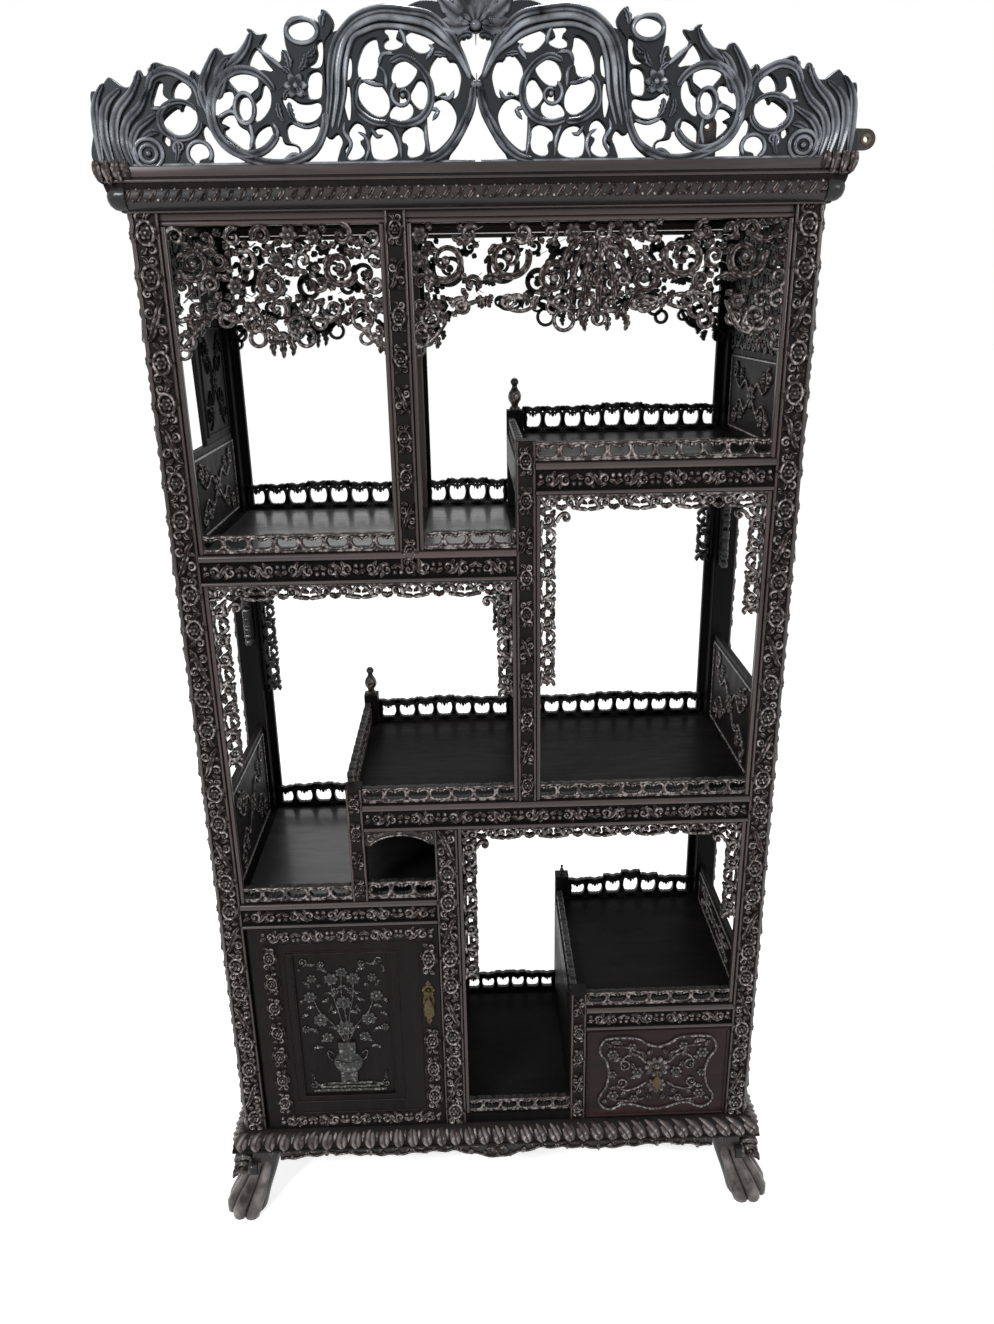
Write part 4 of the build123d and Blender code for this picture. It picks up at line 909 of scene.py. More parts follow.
def carve_galleries():
    fronts = {
        "gallery_upper_left": [(IN_LEFT, MID_POST[0], UPPER_LEFT_TOP),
                               (MID_POST[1], CENTRE_POST[0], UPPER_LEFT_TOP)],
        "gallery_upper_right": [(CENTRE_POST[1], IN_RIGHT, UPPER_RIGHT_TOP)],
        "gallery_middle": [(SHORT_POST[1], CENTRE_POST[0], MIDDLE_TOP),
                           (CENTRE_POST[1], IN_RIGHT, MIDDLE_TOP)],
        "gallery_cupboard": [(IN_LEFT, SHORT_POST[0], CUPBOARD_TOP)],
        "gallery_drawer": [(DRAWER_POST[1], IN_RIGHT, DRAWER_TOP)],
        "gallery_niche": [(DIVIDER[1], DRAWER_POST[0], NICHE_TOP)],
    }
    sides = {
        "gallery_upper_right": (CENTRE_POST, UPPER_RIGHT_TOP, GALLERY_H),
        "gallery_middle": (SHORT_POST, MIDDLE_TOP, BACK_GALLERY_H),
        "gallery_drawer": (DRAWER_POST, DRAWER_TOP, GALLERY_H),
    }
    for node, spans in fronts.items():
        work = Carving()
        for u0, u1, top in spans:
            work.stamp(gallery_strip(u0, u1, top, GALLERY_H), *on_front(FRET_FRONT))
            raised = 0.4 if node == "gallery_drawer" else 0.12
            work.stamp(gallery_strip(u0, u1, top, BACK_GALLERY_H, raised), *on_back(FRET_BACK))
        if node == "gallery_cupboard":
            compartment = gallery_strip(SHORT_POST[1], DIVIDER[0], CUPBOARD_TOP, GALLERY_H + 6)
            work.stamp(compartment, *on_front(FRET_FRONT))
        if node in sides:
            (x0, x1), top, high = sides[node]
            inset = x1 - x0
            work.stamp(gallery_strip(inset, DEPTH - inset, top, high), *on_right((x0 + x1) / 2 - 4))
        make_piece(f"{node}_carving", work, CARVED_LEVEL, stands_for=(node,))


# ---------------------------------------------------------------- hanging frames and valances

def hanging_strip(u0, u1, v0, v1, inner):
    """Pierced strip down a post: a stem, running scrolls and a leafy inner edge."""
    strip = Carving(8.0)
    outer_u = u0 if inner > 0 else u1
    strip.bead((outer_u + inner * 3, v1), (outer_u + inner * 3, v0 + 12), 5.0, 2.6)
    count = max(1, round((v1 - v0) / RUNNING_PITCH))
    step = (v1 - v0) / count
    for index in range(count):
        tall = step / RUNNING_PITCH * (-1 if index % 2 else 1)
        strip.set_in(RUNNING, (u0 + u1) / 2 + inner, v0 + (index + 0.5) * step,
                     inner * (u1 - u0 - 6) / 30, tall)
    strip.leaf((outer_u + inner * 6, v0 + 16), (outer_u + inner * 5, v0 + 1), 10, 3.4,
               bend=0.1 * inner, lobes=3)
    strip.dome(outer_u + inner * 14, v0 + 9, 9, 9, 3.6)
    return strip


def top_strip(u0, u1, top):
    """Pierced strip along a rail: plain fillet above a row of running scrolls laid on their side."""
    strip = Carving(8.0)
    strip.bead((u0, top - 2.5), (u1, top - 2.5), 5.0, 2.2, SQUARE)
    count = max(1, round((u1 - u0) / 42))
    step = (u1 - u0) / count
    for index in range(count):
        along = step / RUNNING_PITCH * (-1 if index % 2 else 1)
        laid = np.array([[0, along, 0], [0.82, 0, 0], [0, 0, 1.0]])
        strip.stamp(RUNNING, laid, (u0 + (index + 0.5) * step, top - 15, 0))
    return strip


def frame_work(x0, x1, top, left_length, right_length):
    """Hanging frame: strip along the rail and a strip down each post."""
    work = Carving(8.0)
    work.stamp(top_strip(x0, x1, top))
    low = top - TOP_STRIP_H
    work.stamp(hanging_strip(x0, x0 + STRIP_W, top - left_length, low + 6, 1))
    work.stamp(hanging_strip(x1 - STRIP_W, x1, top - right_length, low + 6, -1))
    for side, u in ((1, x0 + STRIP_W), (-1, x1 - STRIP_W)):
        work.strap(circle(u + side * 14, low - 14, 15, start=90, turn=side * 90, count=5), 6, 3.0, step=3)
        work.curl(u + side * 12, low - 6, 9, 3, 180 if side > 0 else 0, -side * 1.1, 5, 3.2)
    return work


def carve_frames():
    spans = {
        "fret_mid_left": (IN_LEFT, CENTRE_POST[0], UPPER_LEFT_TOP - RAIL_H),
        "fret_mid_right": (CENTRE_POST[1], IN_RIGHT, UPPER_RIGHT_TOP - RAIL_H),
        "fret_lower": (DIVIDER[1], IN_RIGHT, MIDDLE_TOP - RAIL_H),
    }
    for node, (x0, x1, top) in spans.items():
        drawing = frame_work(x0, x1, top, LONG_STRIP, SHORT_STRIP)
        work = placed(drawing, on_front(FRET_FRONT))
        work.stamp(drawing, *on_back(FRET_BACK))
        make_piece(f"{node}_carving", work, CARVED, stands_for=(node,))


def lower_edge(knots, u0, u1, drop):
    """How far a valance's lower edge hangs below its top, given as shares of its width and drop."""
    shares = [share for share, _ in knots]
    depths = [depth * drop for _, depth in knots]
    return lambda u: float(np.interp((u - u0) / (u1 - u0), shares, depths))


def head_board(u0, u1):
    """Plain board and bead above the openwork."""
    work = Carving(8.0)
    work.bead((u0, POST_TOP - HEAD_H * 0.3), (u1, POST_TOP - HEAD_H * 0.3), HEAD_H * 0.6, 1.6, SQUARE)
    work.bead((u0, POST_TOP - HEAD_H * 0.8), (u1, POST_TOP - HEAD_H * 0.8), HEAD_H * 0.36, 3.0)
    return work


def lace(u0, u1, edge, seed, big=()):
    """Openwork of scrolls and leaves between a head board and a scalloped edge, round a few big scrolls."""
    draw = random.Random(seed)
    work = Carving(8.0)
    for u, v, radius, start, spin in big:
        work.curl(u, v, radius, 8, start, spin, 10, 6.5, FLUTED)
        work.leaf((u + radius * 0.3, v + radius), (u + radius * 1.3, v + radius * 0.9), 15, 6, bend=-0.2)
        work.leaf((u - radius * 0.3, v - radius), (u - radius * 1.2, v - radius * 0.9), 15, 6, bend=-0.2)
        work.leaf((u - radius * 0.9, v + 4), (u - radius * 0.25, v + radius * 0.4), 11, 5, bend=0.3, lobes=3)
    cell = 37.0
    columns = max(2, round((u1 - u0) / cell))
    wide, tall = (u1 - u0) / columns, cell * 0.84
    deepest = max(edge(u0 + share * (u1 - u0)) for share in np.linspace(0, 1, 21))
    for row in range(int(deepest / tall) + 1):
        for column in range(columns + row % 2):
            u = u0 + (column + 0.5 - 0.5 * (row % 2)) * wide
            u = min(max(u, u0 + 13), u1 - 13) + draw.uniform(-3, 3)
            drop = HEAD_H + (row + 0.45) * tall + draw.uniform(-2, 2)
            v = POST_TOP - drop
            if drop + tall * 0.25 > edge(u) or any(math.hypot(u - b[0], v - b[1]) < b[2] + 6 for b in big):
                continue
            outer = wide * draw.uniform(0.33, 0.41)
            spin = draw.choice((-1, 1)) * draw.uniform(0.9, 1.25)
            if draw.random() < 0.82:
                start, rise = draw.uniform(0, 360), draw.uniform(4.0, 5.6)
                work.curl(u, v, outer, 4.2, start, spin, 7.6, rise, draw.choice((ROUND, FLUTED)))
            else:
                work.blossom(u, v, outer * 0.9, 5.5)
            for reach in range(4):
                angle = math.radians(draw.uniform(-14, 14) + 45 + reach * 90)
                a = (u + outer * 0.9 * math.cos(angle), v + outer * 0.9 * math.sin(angle))
                b = (u + outer * 1.75 * math.cos(angle), v + outer * 1.45 * math.sin(angle))
                below = POST_TOP - b[1]
                if not u0 + 3 < b[0] < u1 - 3 or below < HEAD_H or below > edge(b[0]) + 3:
                    continue
                if draw.random() < 0.75:
                    work.leaf(a, b, 14, 5.4, bend=draw.uniform(-0.3, 0.3), lobes=3)
                else:
                    work.strap([a, b], 6.4, 4.0)
    return work


def edge_trim(work, u0, u1, edge):
    """Rolled rim, leaf tips and rings strung along the scalloped edge."""
    count = int((u1 - u0) / 21)
    knots = []
    for index in range(count + 1):
        u = u0 + 3 + index * (u1 - u0 - 6) / count
        knots.append((u, POST_TOP - edge(u) + 8 + (3 if index % 2 else -3)))
    for index in range(0, count - 1, 3):
        work.strap(knots[index:index + 3], (4, 7, 3.5), 4.6, step=3.5)
    for index in range(count):
        u = u0 + (index + 0.5) * (u1 - u0) / count
        v = POST_TOP - edge(u)
        if index % 3 == 0:
            work.ring(circle(u, v + 4, 9, 8, 10), 4.6, 4.0)
        else:
            lean = 4 if index % 3 == 1 else -4
            work.leaf((u, v + 14), (u + lean, v - 4), 13, 5.4, bend=lean * 0.06)


# Share of a valance's width and how much of its full drop the edge reaches there
LEFT_EDGE = [(0, 1.0), (0.06, 1.0), (0.12, 0.8), (0.2, 0.76), (0.36, 0.8), (0.42, 0.86), (0.5, 0.93),
             (0.58, 0.86), (0.64, 0.8), (0.84, 0.78), (0.9, 0.93), (0.95, 1.0), (1.0, 1.0)]
RIGHT_EDGE = [(0, 1.0), (0.05, 1.0), (0.09, 0.82), (0.15, 0.68), (0.3, 0.66), (0.42, 0.74), (0.5, 0.8),
              (0.58, 0.74), (0.7, 0.66), (0.8, 0.66), (0.84, 0.72), (0.88, 0.9), (0.93, 1.0), (1.0, 1.0)]
SIDE_EDGE = [(0.0, 1.0), (0.08, 1.0), (0.2, 0.63), (0.42, 0.53), (0.5, 0.73), (0.58, 0.53), (0.8, 0.63),
             (0.92, 1.0), (1.0, 1.0)]
STRAIGHT_EDGE = [(0.0, 1.0), (1.0, 1.0)]


def left_valance():
    u0, u1 = IN_LEFT, MID_POST[0]
    edge = lower_edge(LEFT_EDGE, u0, u1, VALANCE_H)
    big = [(-398, 1528, 24, 200, 1.2), (-196, 1520, 25, -20, -1.3), (-290, 1500, 22, 90, 1.2)]
    work = lace(u0, u1, edge, 7, big)
    edge_trim(work, u0, u1, edge)
    for u, v, radius in ((-322, 1450, 13), (-262, 1445, 11), (-168, 1452, 14), (-318, 1428, 11),
                         (-250, 1428, 12), (-420, 1425, 11)):
        work.ring(circle(u, v, radius), 5.6, 5.0)
    for lean in (-1, 0, 1):
        work.leaf((-284 + lean * 4, 1432), (-284 + lean * 13, 1400 + abs(lean) * 3), 12, 6, bend=lean * 0.2)
    work.dome(-284, 1430, 20, 15, 7)
    work.leaf((-158, 1432), (-146, 1404), 16, 6, bend=0.25)
    return work


def right_valance():
    u0, u1 = MID_POST[1], IN_RIGHT
    edge = lower_edge(RIGHT_EDGE, u0, u1, VALANCE_H)
    big = [(-48, 1527, 32, 160, 1.35), (40, 1530, 31, 20, -1.35), (288, 1530, 31, 160, 1.35),
           (372, 1526, 30, 20, -1.35), (104, 1502, 22, 60, 1.2), (232, 1500, 22, 120, -1.2)]
    work = lace(u0, u1, edge, 12, big)
    edge_trim(work, u0, u1, edge)
    for angle in range(-60, 61, 20):
        across, down = math.cos(math.radians(angle - 90)), math.sin(math.radians(angle - 90))
        work.leaf((168 + 14 * across, 1566 + 14 * down), (168 + 62 * across, 1566 + 120 * down), 13, 6,
                  bend=angle / 300, lobes=6)
    for u, v, wide, tall in ((55, 1468, 18, 9), (118, 1446, 14, 14), (235, 1467, 18, 9), (285, 1470, 17, 9),
                             (310, 1459, 12, 12), (322, 1443, 10, 10), (-86, 1425, 11, 12),
                             (-72, 1452, 12, 12)):
        work.ring(circle(u, v, wide, tall), 5.6, 5.0)
    for u, lean in ((153, -4), (178, 2), (200, 6)):
        work.leaf((u, 1455), (u + lean, 1430), 12, 5.5, bend=lean * 0.04)
    work.curl(393, 1447, 22, 6, 0, -1.3, 8.5, 5.5)
    work.leaf((414, 1430), (418, 1402), 14, 6, bend=0.2)
    return work


def carve_valances():
    heads = Carving()
    spans = (("valance_left", left_valance(), IN_LEFT, MID_POST[0]),
             ("valance_right", right_valance(), MID_POST[1], IN_RIGHT))
    for node, drawing, u0, u1 in spans:
        work = Carving()
        for plane in (on_front(FRET_FRONT), on_back(FRET_BACK)):
            work.stamp(drawing, *plane)
            heads.stamp(head_board(u0, u1), *plane)
        make_piece(f"{node}_carving", work, CARVED, stands_for=(node,))
    make_piece("valance_heads", heads, WARM_LEVEL)


def carve_compartment():
    """Rounded valance of the small compartment."""
    u0, u1, top = SHORT_POST[1], DIVIDER[0], MIDDLE_TOP - RAIL_H
    foot = top - 32
    work = Carving(8.0)
    arch = [(u0, top), (u0, foot), (u0 + 6, foot)]
    for share in np.linspace(0.05, 0.95, 15):
        arch.append((u0 + 6 + (u1 - u0 - 12) * share, foot + 20 * math.sin(math.pi * share) ** 0.7))
    arch += [(u1 - 6, foot), (u1, foot), (u1, top)]
    work.plate(arch, -8, 0.5, 0.2)
    work.strap(arch[2:-2], 4.0, 3.2)
    for lean, u in ((1, u0), (-1, u1)):
        work.leaf((u + lean * 8, top - 8), (u + lean * 34, top - 6), 10, 3.6, bend=-lean * 0.15)
        work.curl(u + lean * 10, top - 18, 8, 2.6, 90, lean * 1.1, 4, 3.2)
    work.dome((u0 + u1) / 2, top - 7, 12, 8, 4)
    make_piece("compartment_valance_carving", placed(work, on_front(FRET_FRONT)), CARVED_LEVEL,
               stands_for=("compartment_valance",))


# ---------------------------------------------------------------- sides

def panel_relief(u0, u1, v0, v1, seed):
    """Border bead, corner curls and a spray of flowers on a closed panel."""
    draw = random.Random(seed)
    work = Carving()
    work.border(u0 + 12, u1 - 12, v0 + 12, v1 - 12, 5.0, 3.0)
    cu, cv = (u0 + u1) / 2, (v0 + v1) / 2
    wide, tall = (u1 - u0) / 2 - 24, (v1 - v0) / 2 - 24
    work.blossom(cu, cv, min(wide, tall, 34) * 0.6, 5, petals=8)
    for su, sv in ((-1, -1), (-1, 1), (1, -1), (1, 1)):
        work.curl(cu + su * wide * 0.82, cv + sv * tall * 0.78, min(tall * 0.3, 20), 4, 90 * sv,
                  su * sv * 1.2, 6, 4)
        stem = [(cu + su * 10, cv + sv * 6), (cu + su * wide * 0.3, cv + sv * tall * 0.5),
                (cu + su * wide * 0.55, cv + sv * tall * 0.2), (cu + su * wide * 0.8, cv + sv * tall * 0.5)]
        work.strap(stem, (6, 5, 4), 3.6)
        for share in (0.3, 0.5, 0.7):
            base = (cu + su * wide * share, cv + sv * tall * 0.35)
            tip = (base[0] + su * 14, base[1] + sv * draw.uniform(8, 18))
            work.leaf(base, tip, 11, 3.6, bend=su * sv * 0.2)
        work.blossom(cu + su * wide * 0.5, cv + sv * tall * 0.7, min(11.0, tall * 0.3), 4)
    return work


def carve_side_panels():
    boards = {
        "left": [(UPPER_LEFT_TOP, 144.0), (CUPBOARD_TOP, 193.0), (0.0, 447.0)],
        "right": [(UPPER_RIGHT_TOP, 143.0), (MIDDLE_TOP, 177.0), (DRAWER_TOP, 88.0), (0.0, 207.0)],
    }
    planes = {
        "left": (on_left(-PANEL_X), on_right(-PANEL_INNER_X)),
        "right": (on_right(PANEL_X), on_left(PANEL_INNER_X)),
    }
    for side, levels in boards.items():
        outer, inner = planes[side]
        work = Carving()
        for index, (v0, tall) in enumerate(levels):
            drawing = panel_relief(POST_D, DEPTH - POST_D, v0, v0 + tall, 20 + index)
            work.stamp(drawing, *outer)
            if tall < 200:
                work.stamp(drawing, *inner)
        make_piece(f"side_panel_carving_{side}", work, CARVED)
        refinish(GROUND, f"side_panels_{side}")


def carve_side_frets():
    u0, u1 = POST_D, DEPTH - POST_D
    sides = (
        ("left", on_left(-SIDE_X), lower_edge(SIDE_EDGE, u0, u1, 146.0), [UPPER_LEFT_TOP]),
        ("right", on_right(SIDE_X), lower_edge(STRAIGHT_EDGE, u0, u1, 200.0), [UPPER_RIGHT_TOP, MIDDLE_TOP]),
    )
    for side, plane, edge, tops in sides:
        drawing = lace(u0, u1, edge, 31)
        drawing.stamp(head_board(u0, u1))
        edge_trim(drawing, u0, u1, edge)
        for top in tops:
            drawing.stamp(frame_work(u0, u1, top - RAIL_H, SHORT_STRIP, SHORT_STRIP))
        make_piece(f"side_fret_carving_{side}", placed(drawing, plane), CARVED,
                   stands_for=(f"side_frets_{side}",))


def carve_side_stile():
    """Carved board that closes the back of the left side between its panel and its valance."""
    front, back, foot, head = 158, DEPTH - POST_D, 1258, 1452
    board = Carving()
    board.plate([(back, foot), (front, foot), (front - 12, head), (back, head)], -4, 4, 0.1)
    face = panel_relief(front, back, foot + 2, head - 2, 9)
    stile = placed(board, on_right(-SIDE_X))
    stile.stamp(face, *on_right(-SIDE_X + 3.5))
    stile.stamp(face, *on_left(-SIDE_X - 3.5))
    make_piece("side_stile_left", stile, INNER)


# ---------------------------------------------------------------- base, aprons and feet

def runs(past):
    """Faces that a moulding runs along, with its ends and mitre; on the sides it starts past the front."""
    return ((on_front(0.0), -HALF, HALF, 1.0), (on_left(-HALF), -past, DEPTH, 0.0),
            (on_right(HALF), -past, DEPTH, 0.0))


def base_reach(v):
    """Reach of the base moulding's swelling face at a height."""
    share = (v - BASE_LOW) / (BASE_HIGH - BASE_LOW)
    swell = abs(BASE_FOOT - BASE_HEAD)
    return BASE_FOOT + (BASE_HEAD - BASE_FOOT) * share + swell * share * (1 - share)


def base_tongues(u0, u1, mitre):
    """Row of slanting leaf tongues on the swelling face of the base moulding."""
    work = Carving(3.0)
    count = round((u1 - u0) / 25.5)
    step = (u1 - u0) / count
    middle = (u0 + u1) / 2
    for index in range(count):
        u = u0 + (index + 0.5) * step
        knots = []
        for share in (0.02, 0.35, 0.7, 1.0, 1.2):
            v = BASE_HIGH + (BASE_LOW - BASE_HIGH) * share
            reach = base_reach(v)
            wider = 1 + mitre * reach / (u1 - u0) * 2
            knots.append(((u - middle) * wider + middle + 10.0 * (share - 0.5), v, reach - 1.0))
        widths = (step * 0.5, step * 0.84, step * 0.96, step * 0.8)
        work.strap(knots, widths, (2.5, 5.5, 7.5, 6.5), VEINED)
        between = [(k[0] + step * 0.5, k[1], k[2]) for k in knots[:3]]
        work.strap(between, (step * 0.2, step * 0.3, step * 0.15), (2, 3.6, 3), step=5)
    return work


def carve_base():
    work, lip = Carving(), Carving()
    for plane, u0, u1, mitre in runs(12):
        work.stamp(base_tongues(u0, u1, mitre), *plane)
        edge = Carving(3.0, BASE_FOOT)
        edge.bead((u0 - BASE_FOOT * mitre, -29.5), (u1 + BASE_FOOT * mitre, -29.5), 5, 2.0, SQUARE)
        lip.stamp(edge, *plane)
    make_piece("base_moulding_carving", work, BASE)
    make_piece("base_lip", lip, GROUND)
    refinish(GROUND, "base_moulding")
    refinish(BOARD, "bottom_boards")


def apron_drawing(u0, u1):
    """Scalloped apron with scrolls, leaves and a rolled lower edge."""
    wide, middle = u1 - u0, (u0 + u1) / 2
    half = [(0.0, 40), (0.05, 34), (0.12, 28), (0.2, 33), (0.26, 36), (0.33, 31), (0.4, 30), (0.45, 40)]
    knots = half + [(0.5, 51)] + [(1 - share, drop) for share, drop in reversed(half)]
    shares = np.linspace(0, 1, 61)
    drops = np.interp(shares, [k[0] for k in knots], [k[1] for k in knots])
    lower = [(u0 + s * wide, APRON_TOP - d + 2.4 * math.sin(s * wide / 6.5)) for s, d in zip(shares, drops)]
    work = Carving(10.0)
    work.plate([(u0, APRON_TOP)] + lower + [(u1, APRON_TOP)], -12, 0, 0.15)
    work.strap(lower, 5.0, 4.0, step=5)
    work.back = 1.5
    for lean in (-1, 1):
        for index in range(int(wide / 2 // 52)):
            u = middle + lean * (40 + index * 52)
            work.curl(u, -48, 10, 3, 90, -lean * 1.2, 5, 4)
            stem = [(u, -38), (u + lean * 14, -40), (u + lean * 26, -52), (u + lean * 42, -50)]
            work.strap(stem, (5, 5, 4), 3.6)
            work.leaf((u + lean * 22, -48), (u + lean * 30, -64), 10, 4, bend=lean * 0.2)
            work.leaf((u + lean * 18, -42), (u + lean * 34, -38), 9, 4, bend=-lean * 0.2)
    for angle in (-150, -120, -90, -60, -30):
        across, up = math.cos(math.radians(angle)), math.sin(math.radians(angle))
        work.leaf((middle + 5 * across, -50 + 5 * up), (middle + 24 * across, -52 + 24 * up), 11, 5)
    work.dome(middle, -48, 13, 13, 6)
    draw = random.Random(4)
    for u, v in lower[2:-2:2]:
        lean = draw.uniform(-7, 7)
        work.leaf((u, v + 9), (u + lean, v - draw.uniform(1, 7)), draw.uniform(11, 17), 5,
                  bend=lean * 0.03, lobes=3)
    return work


def carve_aprons():
    work = placed(apron_drawing(-417, 417), on_front(-4.0))
    for plane in (on_left(-APRON_X), on_right(APRON_X)):
        work.stamp(apron_drawing(58, 314), *plane)
    make_piece("apron_carving", work, CARVED_LEVEL, stands_for=("aprons",))


def claw_foot(side, front):
    """Square neck that spreads into a paw of long clawed toes."""
    work = Carving(2.0)
    neck = np.array([side * 446.0, 29.0 if front else 343.0])
    paw = np.array([side * 483.0, -3.0 if front else 330.0])
    downs = [0.0, 0.12, 0.28, 0.42, 0.55, 0.68, 0.8, 0.9, 0.97, 1.0]
    shifts = [0.0, 0.0, 0.06, 0.18, 0.34, 0.55, 0.76, 0.92, 1.0, 1.0]
    sizes = [60, 60, 58, 56, 56, 58, 62, 66, 67, 62]
    around = 28
    a = np.linspace(0, 2 * math.pi, around, endpoint=False)
    points = []
    for down, shift, size in zip(downs, shifts, sizes):
        centre = neck + (paw - neck) * shift
        power = 0.45 + 0.4 * shift
        x = np.sign(np.cos(a)) * np.abs(np.cos(a)) ** power
        y = np.sign(np.sin(a)) * np.abs(np.sin(a)) ** power
        high = np.full(around, FOOT_TOP - FOOT_H * down)
        points.append(np.stack([centre[0] + size / 2 * x, centre[1] + size / 2 * y, high], 1))
    points = np.vstack(points)
    ends = [fan(0, around), fan((len(downs) - 1) * around, around, backwards=True)]
    work.add(points, np.full(len(points), 0.4), rings(len(downs), around)[:, ::-1], np.vstack(ends))
    heading = math.degrees(math.atan2(-1 if front else 1, side))
    toes = Carving(4.0)
    for aside in (-66, -24, 18, 60):
        angle = math.radians(heading + aside)
        ray = np.array([math.cos(angle), math.sin(angle)])
        route = []
        for high, proud in ((-72, -3), (-88, 3), (-104, 3.5), (-122, 4.5), (-138, 8), (-152, 9), (-164, 8.5),
                            (-173, 6), (-177.5, 1)):
            down = (FOOT_TOP - high) / FOOT_H
            centre = neck + (paw - neck) * np.interp(down, downs, shifts)
            along = np.interp(down, downs, sizes) / 2 * 1.06 + proud - 7
            route.append((centre[0] + ray[0] * along, centre[1] + ray[1] * along, high))
        toe_ridge(toes, np.array(route), ray, (12, 20, 23, 25, 29, 29, 30, 29, 24))
    work.stamp(toes)
    return work


def toe_ridge(work, route, ray, widths):
    """Rounded toe laid along a falling route."""
    around = 10
    a = np.linspace(0, 2 * math.pi, around, endpoint=False)
    side = np.array([-ray[1], ray[0], 0.0])
    points = []
    for centre, lead, width in zip(route, np.gradient(route, axis=0), widths):
        up = np.cross(side, lead / np.linalg.norm(lead))
        across, above = np.outer(np.cos(a), side), np.outer(np.sin(a), up)
        points.append(centre + across * width / 2 + above * width / 2 * 0.8)
    points = np.vstack(points)
    points[:, 2] = np.maximum(points[:, 2], FLOOR)
    ends = [fan(0, around, backwards=True), fan((len(route) - 1) * around, around)]
    relief = np.tile(0.3 + 0.7 * np.abs(np.sin(a)), len(route))
    work.add(points, relief, rings(len(route), around), np.vstack(ends))


def carve_feet():
    for front, place in ((True, "front"), (False, "back")):
        for side, word in ((-1, "left"), (1, "right")):
            work = claw_foot(side, front)
            ear = Carving(9.0)
            ear.curl(side * 494, -94, 15, 5, 180 if side > 0 else 0, -side * 1.2, 11, 8, FLUTED)
            ear.leaf((side * 474, -72), (side * 508, -82), 17, 8, bend=side * 0.3)
            ear.leaf((side * 490, -108), (side * 514, -122), 15, 7, bend=side * 0.3)
            work.stamp(ear, *(on_front(4.0) if front else on_back(350.0)))
            out = Carving(9.0)
            lean, u = (-1, -6.0) if front else (1, 363.0)
            out.curl(u, -90, 13, 4, 180 if lean > 0 else 0, -lean * 1.2, 9, 8, FLUTED)
            work.stamp(out, *(on_right(470.0) if side > 0 else on_left(-470.0)))
            make_piece(f"claw_foot_{place}_{word}", work, FOOT, stands_for=(f"foot_{place}_{word}",))


# ---------------------------------------------------------------- cornice and cresting

def cornice_run(u0, u1):
    """Bullnose with a running row of small leaves and berries."""
    work = Carving(12.0)
    work.bead((u0, 1611, 8), (u1, 1611, 8), 34, 15)
    for u in (u0, u1):
        work.dome(u, 1611, 36, 34, 15, w=8, around=16)
    # Relief lowered so that the finish paints no highlight on the bullnose and paints it partly in shade.
    work.relief = [height * 0.35 for height in work.relief]
    count = round((u1 - u0) / 17.0)
    for index in range(count):
        u = u0 + (index + 0.5) * (u1 - u0) / count
        work.strap([(u - 6, 1604, 20), (u, 1611, 21.5), (u + 5, 1619, 20)], (5, 8.5, 5), 4.0, VEINED, step=3)
        work.dome(u + 7, 1606, 6, 6, 3.6, w=21, around=7)
        work.dome(u - 4, 1619, 5, 5, 3, w=20, around=7)
    return work


def carve_cornice():
    rows, rails = Carving(), Carving()
    for plane, u0, u1, mitre in runs(10):
        rows.stamp(cornice_run(u0 - 2 * mitre, u1 + 2 * mitre), *plane)
        for v, width, rise, reach, section in ((1640.5, 13, 2.6, 23.5, SQUARE), (1629.5, 5, 3.4, 22.5, ROUND),
                                               (1594, 5, 3, 4.0, ROUND)):
            rail = Carving(2.0, reach)
            rail.bead((u0 - reach * mitre, v), (u1 + reach * mitre, v), width, rise, section)
            rails.stamp(rail, *plane)
    corner = Carving(4.0)
    for side in (-1, 1):
        for u, foot in ((500, 1626), (488, 1624), (475, 1627), (463, 1633)):
            knots = [(side * (u + 4), 1655, -6), (side * (u + 2), 1642, 0), (side * (u - 3), foot, 0)]
            corner.strap(knots, (9, 12, 6), 5, FLUTED)
    rows.stamp(corner, *on_front(-26.0))
    make_piece("cornice_carving", rows, CARVED_LEVEL)
    make_piece("cornice_rails", rails, WARM_LEVEL)
    refinish(GROUND, "cornice")
    refinish(BOARD, "top_board")


# The right half of the cresting: a sawn sheet from its end to the big scroll, the big scroll's own
# sheet, and the openings of both
CREST_SIDE = [
    (507, 1649), (508, 1700), (507, 1737), (496, 1740), (482, 1755), (475, 1753), (464, 1745),
    (456, 1744), (446, 1752), (440, 1764), (435, 1756), (425, 1762), (419, 1772), (404, 1768),
    (388, 1762), (377, 1754), (370, 1763), (362, 1757), (356, 1761), (350, 1776), (340, 1787),
    (332, 1786), (329, 1780), (318, 1781), (306, 1785), (297, 1792), (291, 1800), (297, 1808),
    (289, 1808), (282, 1802), (271, 1803), (276, 1795), (280, 1788), (268, 1777), (256, 1771),
    (253, 1785), (245, 1777), (248, 1792), (248, 1810), (238, 1821), (222, 1822), (207, 1818),
    (200, 1814), (199, 1829), (191, 1827), (183, 1815), (188, 1802), (196, 1790), (198, 1750),
    (197, 1715), (203, 1685), (214, 1666), (232, 1652), (244, 1648), (380, 1648),
]
